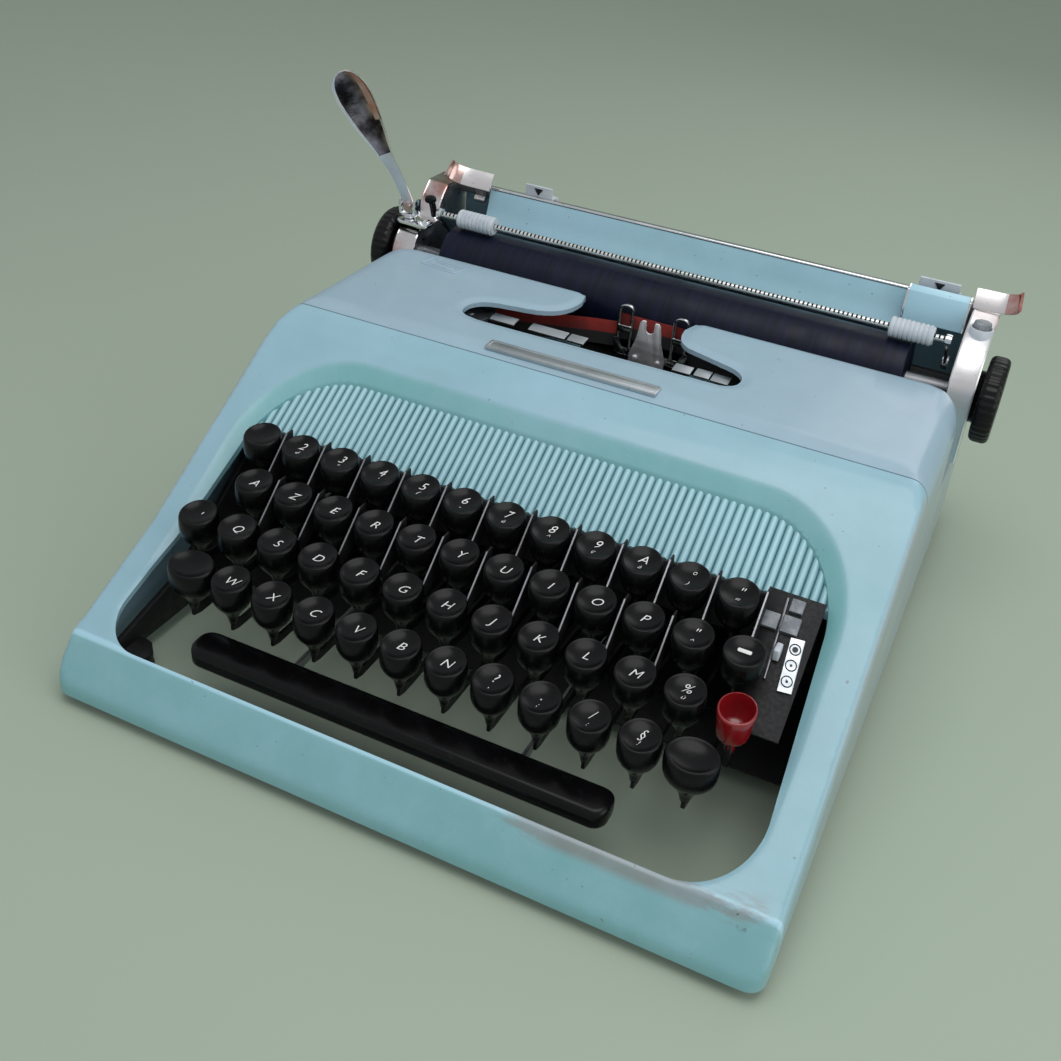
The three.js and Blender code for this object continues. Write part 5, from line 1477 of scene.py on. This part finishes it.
def make_return_arm():
    """The return lever: a narrow strip that opens into a long dished spoon with a folded edge."""
    low, high = box_mm("return_lever")
    route = [(-145.5, 104, 124), (-147, 101.5, 131), (-149.5, 97.5, 141), (-153.5, 92, 153),
             (-157.5, 86.5, 165), (-161.5, 81, 177), (-165.2, 76.6, 187.5), (-167.4, 74.0, 194.2)]
    path = smooth_path(route, 6)
    count = len(path) - 1
    rings = []
    part = bmesh.new()
    across = Vector((0.9, 0.42, 0.05)).normalized()
    columns = 12
    for index, point in enumerate(path):
        t = index / count
        before, after = path[max(index - 1, 0)], path[min(index + 1, count)]
        along = (after - before).normalized()
        side = (across - along * along.dot(across)).normalized()
        out = side.cross(along)
        half = float(np.interp(t, *zip(*SPOON)))
        widen = max(half - 3, 0) / 6
        ring = []
        for face in (1, -1):
            for column in range(columns + 1):
                u = -1 + 2 * column / columns
                u = u if face > 0 else -u
                dish = 1.7 * widen * (1 - u * u)
                lift = 0.75 * face - dish + (1.4 * widen if u > 0.9 else 0)
                ring.append(part.verts.new(at(*(point + side * half * u + out * lift))))
        rings.append(ring)
    for first, second in zip(rings, rings[1:]):
        for i in range(len(first)):
            j = (i + 1) % len(first)
            part.faces.new((first[i], first[j], second[j], second[i]))
    part.faces.new(list(reversed(rings[0])))
    part.faces.new(rings[-1])
    arm = Shape().gather(part, 0)
    around = 2 * columns + 2
    # Slot 0 is the dark chrome, a painted reflection; the folded edges and the strip take satin.
    for index, face in enumerate(arm.bm.faces):
        ring, place = divmod(index, around)
        edge = place in (0, columns - 1, columns, 2 * columns + 1)
        if ring < count * 0.42 or edge or ring >= count:
            face.material_index = 1
        # Painted highlight: faces along the spoon's right top edge take the reddish chrome.
        if ring > count * 0.6 and place in (columns - 3, columns - 2, columns - 1):
            face.material_index = 2
    arm.turned([(0, -3.4), (2.0, -3.4), (2.1, -3), (2.1, 3), (2.0, 3.4), (0, 3.4)], (-145.5, 104, 124),
               "Y", 18)
    add_piece("return_handle", arm.mesh("return_handle", 50), "spoon satin copper", "return_arm",
              "return_lever")


def make_inner_works():
    for node, finish, slot in (("chassis", "enamel", "black_enamel"),
                               ("type_segment", "dark_steel", "steel"),
                               ("typebars", "steel", "steel")):
        dress_node(node, finish, 0.0002)
    plates = Shape()
    for x0, x1, drop in ((-67, -54.3, 0), (-47, -28.4, 0), (-27.3, -18.9, 0), (24.2, 32.8, 0.3),
                         (34.3, 41.6, 0), (42.2, 50.5, 0.3)):
        plates.swept(bar(x1 - x0, 0.9, 0.3), [((x0 + x1) / 2, 44.5, 103.4 - drop),
                                             ((x0 + x1) / 2, 47, 104 - drop),
                                             ((x0 + x1) / 2, 50.5, 104.2 - drop)])
    add_piece("ribbon_plates", plates.mesh("ribbon_plates"), "plate", "machine")
    end = Shape().prism(rounded(138.2, 145.6, 91, 99.5, (1,) * 4, 4), 60.2, 70.6, "Z", 0.6)
    for z in (63, 68):
        end.turned([(0, 0), (1.4, 0), (1.4, -0.7), (0.9, -1.1), (0, -1.1)], (142, 91.1, z), "Y", 16)
    add_piece("rail_end_block", end.mesh("rail_end_block"), "steel", "machine")


def make_feet():
    for name in ("front_left", "front_right", "rear_left", "rear_right"):
        low, high = box_mm(f"foot_{name}")
        centre = ((low.x + high.x) / 2, (low.y + high.y) / 2, 0)
        r = (high.x - low.x) / 2
        profile = [(0, low.z + 0.8), (2.4, low.z + 0.8), (3, low.z), (r - 1.4, low.z),
                   (r - 0.5, low.z + 0.5), (r, low.z + 1.5), (r - 0.6, high.z - 1.2),
                   (r - 0.2, high.z), (0, high.z)]
        add_piece(f"rubber_foot_{name}", Shape().turned(profile, centre, "Z", 36).mesh("foot"),
                  "rubber", "machine", f"foot_{name}")


# ------------------------------------------------------------------ stage


def soft_light(name, place, aim, size, power, colour=(1, 1, 1)):
    light = bpy.data.lights.new(name, "AREA")
    light.shape = "DISK"
    light.size = size
    light.energy = power
    light.color = colour
    lamp = bpy.data.objects.new(name, light)
    lamp.location = at(*place)
    lamp.rotation_euler = (at(*aim) - at(*place)).to_track_quat("-Z", "Y").to_euler()
    bpy.context.scene.collection.objects.link(lamp)


FLOOR_GAP = 0.0002


def make_stage():
    stage = bpy.context.scene.typewriter_stage
    bm = bmesh.new()
    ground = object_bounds()[0][2] - FLOOR_GAP
    reach, bend, wall = 4.0, 1.0, 2.5
    profile = [(-reach, ground)]
    for step in range(13):
        angle = math.radians(90 * step / 12)
        profile.append((reach - bend + bend * math.sin(angle), ground + bend * (1 - math.cos(angle))))
    profile.append((reach, ground + wall))
    rows = [[bm.verts.new((x, y, z)) for y, z in profile] for x in (-7, -2, 2, 7)]
    for first, second in zip(rows, rows[1:]):
        for i in range(len(profile) - 1):
            bm.faces.new((first[i], second[i], second[i + 1], first[i + 1]))
    mesh = bpy.data.meshes.new("studio_floor")
    bm.to_mesh(mesh)
    bm.free()
    finish_mesh(mesh, 60)
    mesh.materials.append(FINISHES["floor"])
    floor = bpy.data.objects.new("studio_floor", mesh)
    bpy.context.scene.collection.objects.link(floor)
    floor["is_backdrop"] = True
    soft_light("upper_light", (120, -180, 980), (0, 20, 60), 0.8, stage.key_light)
    soft_light("right_light", (950, -250, 420), (0, 0, 60), 0.9, stage.fill_light * 1.5)
    soft_light("rear_light", (200, 900, 700), (0, 60, 90), 0.6, stage.fill_light * 0.7)
    world = bpy.data.worlds.new("surroundings")
    world.use_nodes = True
    world.node_tree.nodes["Background"].inputs["Color"].default_value = (0.94, 0.97, 1.0, 1)
    world.node_tree.nodes["Background"].inputs["Strength"].default_value = stage.sky
    bpy.context.scene.world = world
    bpy.context.scene.view_settings.view_transform = "Standard"
    camera = bpy.data.cameras.new("camera")
    camera.lens = 42.31
    camera.sensor_width = 36
    camera.shift_x = -0.0207
    camera.shift_y = -0.0607
    camera.clip_start = 0.01
    camera.clip_end = 20
    viewer = bpy.data.objects.new("camera", camera)
    right = Vector((0.90381, 0.41931, 0.08553))
    up = Vector((-0.28342, 0.43675, 0.85377))
    back = Vector((0.32064, -0.79588, 0.51358))
    turn = Matrix((right, up, back)).transposed().to_4x4()
    viewer.matrix_world = Matrix.Translation(at(166.16, -437.19, 346.81)) @ turn
    bpy.context.scene.collection.objects.link(viewer)
    bpy.context.scene.camera = viewer


# ------------------------------------------------------------------ operators and panel


class TYPEWRITER_OT_housing(bpy.types.Operator):
    """Make the pressed housing, the ribbon cover and what is fixed on them"""

    bl_idname = "typewriter.housing"
    bl_label = "Housing"

    def execute(self, context):
        make_housing()
        make_cover_details()
        return {"FINISHED"}


class TYPEWRITER_OT_ribs(bpy.types.Operator):
    """Make the ribbed panel above the keys"""

    bl_idname = "typewriter.ribs"
    bl_label = "Ribbed panel"

    def execute(self, context):
        make_ribs()
        return {"FINISHED"}


class TYPEWRITER_OT_keys(bpy.types.Operator):
    """Make the keys with their letters and levers, and the space bar"""

    bl_idname = "typewriter.keys"
    bl_label = "Keys"

    def execute(self, context):
        make_keys()
        make_space_bar()
        return {"FINISHED"}


class TYPEWRITER_OT_key_bed(bpy.types.Operator):
    """Make the comb between the keys and a dark plate under them as painted shade"""

    bl_idname = "typewriter.key_bed"
    bl_label = "Key bed"

    def execute(self, context):
        make_key_bed()
        return {"FINISHED"}


class TYPEWRITER_OT_selector(bpy.types.Operator):
    """Make the ribbon colour selector"""

    bl_idname = "typewriter.selector"
    bl_label = "Ribbon selector"

    def execute(self, context):
        make_selector()
        return {"FINISHED"}


class TYPEWRITER_OT_ribbon(bpy.types.Operator):
    """Make the type guide, the ribbon and its spools"""

    bl_idname = "typewriter.ribbon"
    bl_label = "Type guide and ribbon"

    def execute(self, context):
        make_guide()
        make_ribbon()
        make_spools()
        return {"FINISHED"}


class TYPEWRITER_OT_carriage(bpy.types.Operator):
    """Make the carriage's frame, ends and end button"""

    bl_idname = "typewriter.carriage"
    bl_label = "Carriage"

    def execute(self, context):
        make_carriage()
        return {"FINISHED"}


class TYPEWRITER_OT_platen(bpy.types.Operator):
    """Make the platen and its knobs"""

    bl_idname = "typewriter.platen"
    bl_label = "Platen"

    def execute(self, context):
        make_platen()
        return {"FINISHED"}


class TYPEWRITER_OT_paper_holders(bpy.types.Operator):
    """Make the paper bail, the paper table and the margin stops"""

    bl_idname = "typewriter.paper_holders"
    bl_label = "Paper bail, table and margins"

    def execute(self, context):
        make_bail()
        make_paper_table()
        make_margin_stops()
        return {"FINISHED"}


class TYPEWRITER_OT_levers(bpy.types.Operator):
    """Make the carriage's levers"""

    bl_idname = "typewriter.levers"
    bl_label = "Levers"

    def execute(self, context):
        make_levers()
        return {"FINISHED"}


class TYPEWRITER_OT_works(bpy.types.Operator):
    """Finish the inner works and make the feet"""

    bl_idname = "typewriter.works"
    bl_label = "Inner works and feet"

    def execute(self, context):
        make_inner_works()
        make_feet()
        return {"FINISHED"}


class TYPEWRITER_OT_stage(bpy.types.Operator):
    """Make the floor, the lights and the camera"""

    bl_idname = "typewriter.stage"
    bl_label = "Stage"

    def execute(self, context):
        make_stage()
        return {"FINISHED"}


STEPS = (TYPEWRITER_OT_housing, TYPEWRITER_OT_ribs, TYPEWRITER_OT_keys, TYPEWRITER_OT_key_bed,
         TYPEWRITER_OT_selector, TYPEWRITER_OT_ribbon, TYPEWRITER_OT_carriage, TYPEWRITER_OT_platen,
         TYPEWRITER_OT_paper_holders, TYPEWRITER_OT_levers, TYPEWRITER_OT_works,
         TYPEWRITER_OT_stage)
SETTINGS = {"typewriter_housing": TypewriterHousing, "typewriter_keys": TypewriterKeys,
            "typewriter_colours": TypewriterColours, "typewriter_stage": TypewriterStage}


class TYPEWRITER_PT_builder(bpy.types.Panel):
    """Lists the settings and the steps that make the typewriter"""

    bl_idname = "TYPEWRITER_PT_builder"
    bl_label = "Typewriter"
    bl_space_type = "VIEW_3D"
    bl_region_type = "UI"
    bl_category = "Typewriter"

    def draw(self, context):
        for name, group in SETTINGS.items():
            box = self.layout.box()
            for key in group.__annotations__:
                box.prop(getattr(context.scene, name), key)
        for step in STEPS:
            self.layout.operator(step.bl_idname)


def register():
    for group in (*SETTINGS.values(), *STEPS, TYPEWRITER_PT_builder):
        bpy.utils.register_class(group)
    for name, group in SETTINGS.items():
        setattr(bpy.types.Scene, name, bpy.props.PointerProperty(type=group))


def unregister():
    for name in SETTINGS:
        delattr(bpy.types.Scene, name)
    for group in reversed((*SETTINGS.values(), *STEPS, TYPEWRITER_PT_builder)):
        bpy.utils.unregister_class(group)


def main():
    register()
    make_finishes()
    for step in STEPS:
        space, name = step.bl_idname.split(".")
        getattr(getattr(bpy.ops, space), name)()


if __name__ == "__main__":
    main()
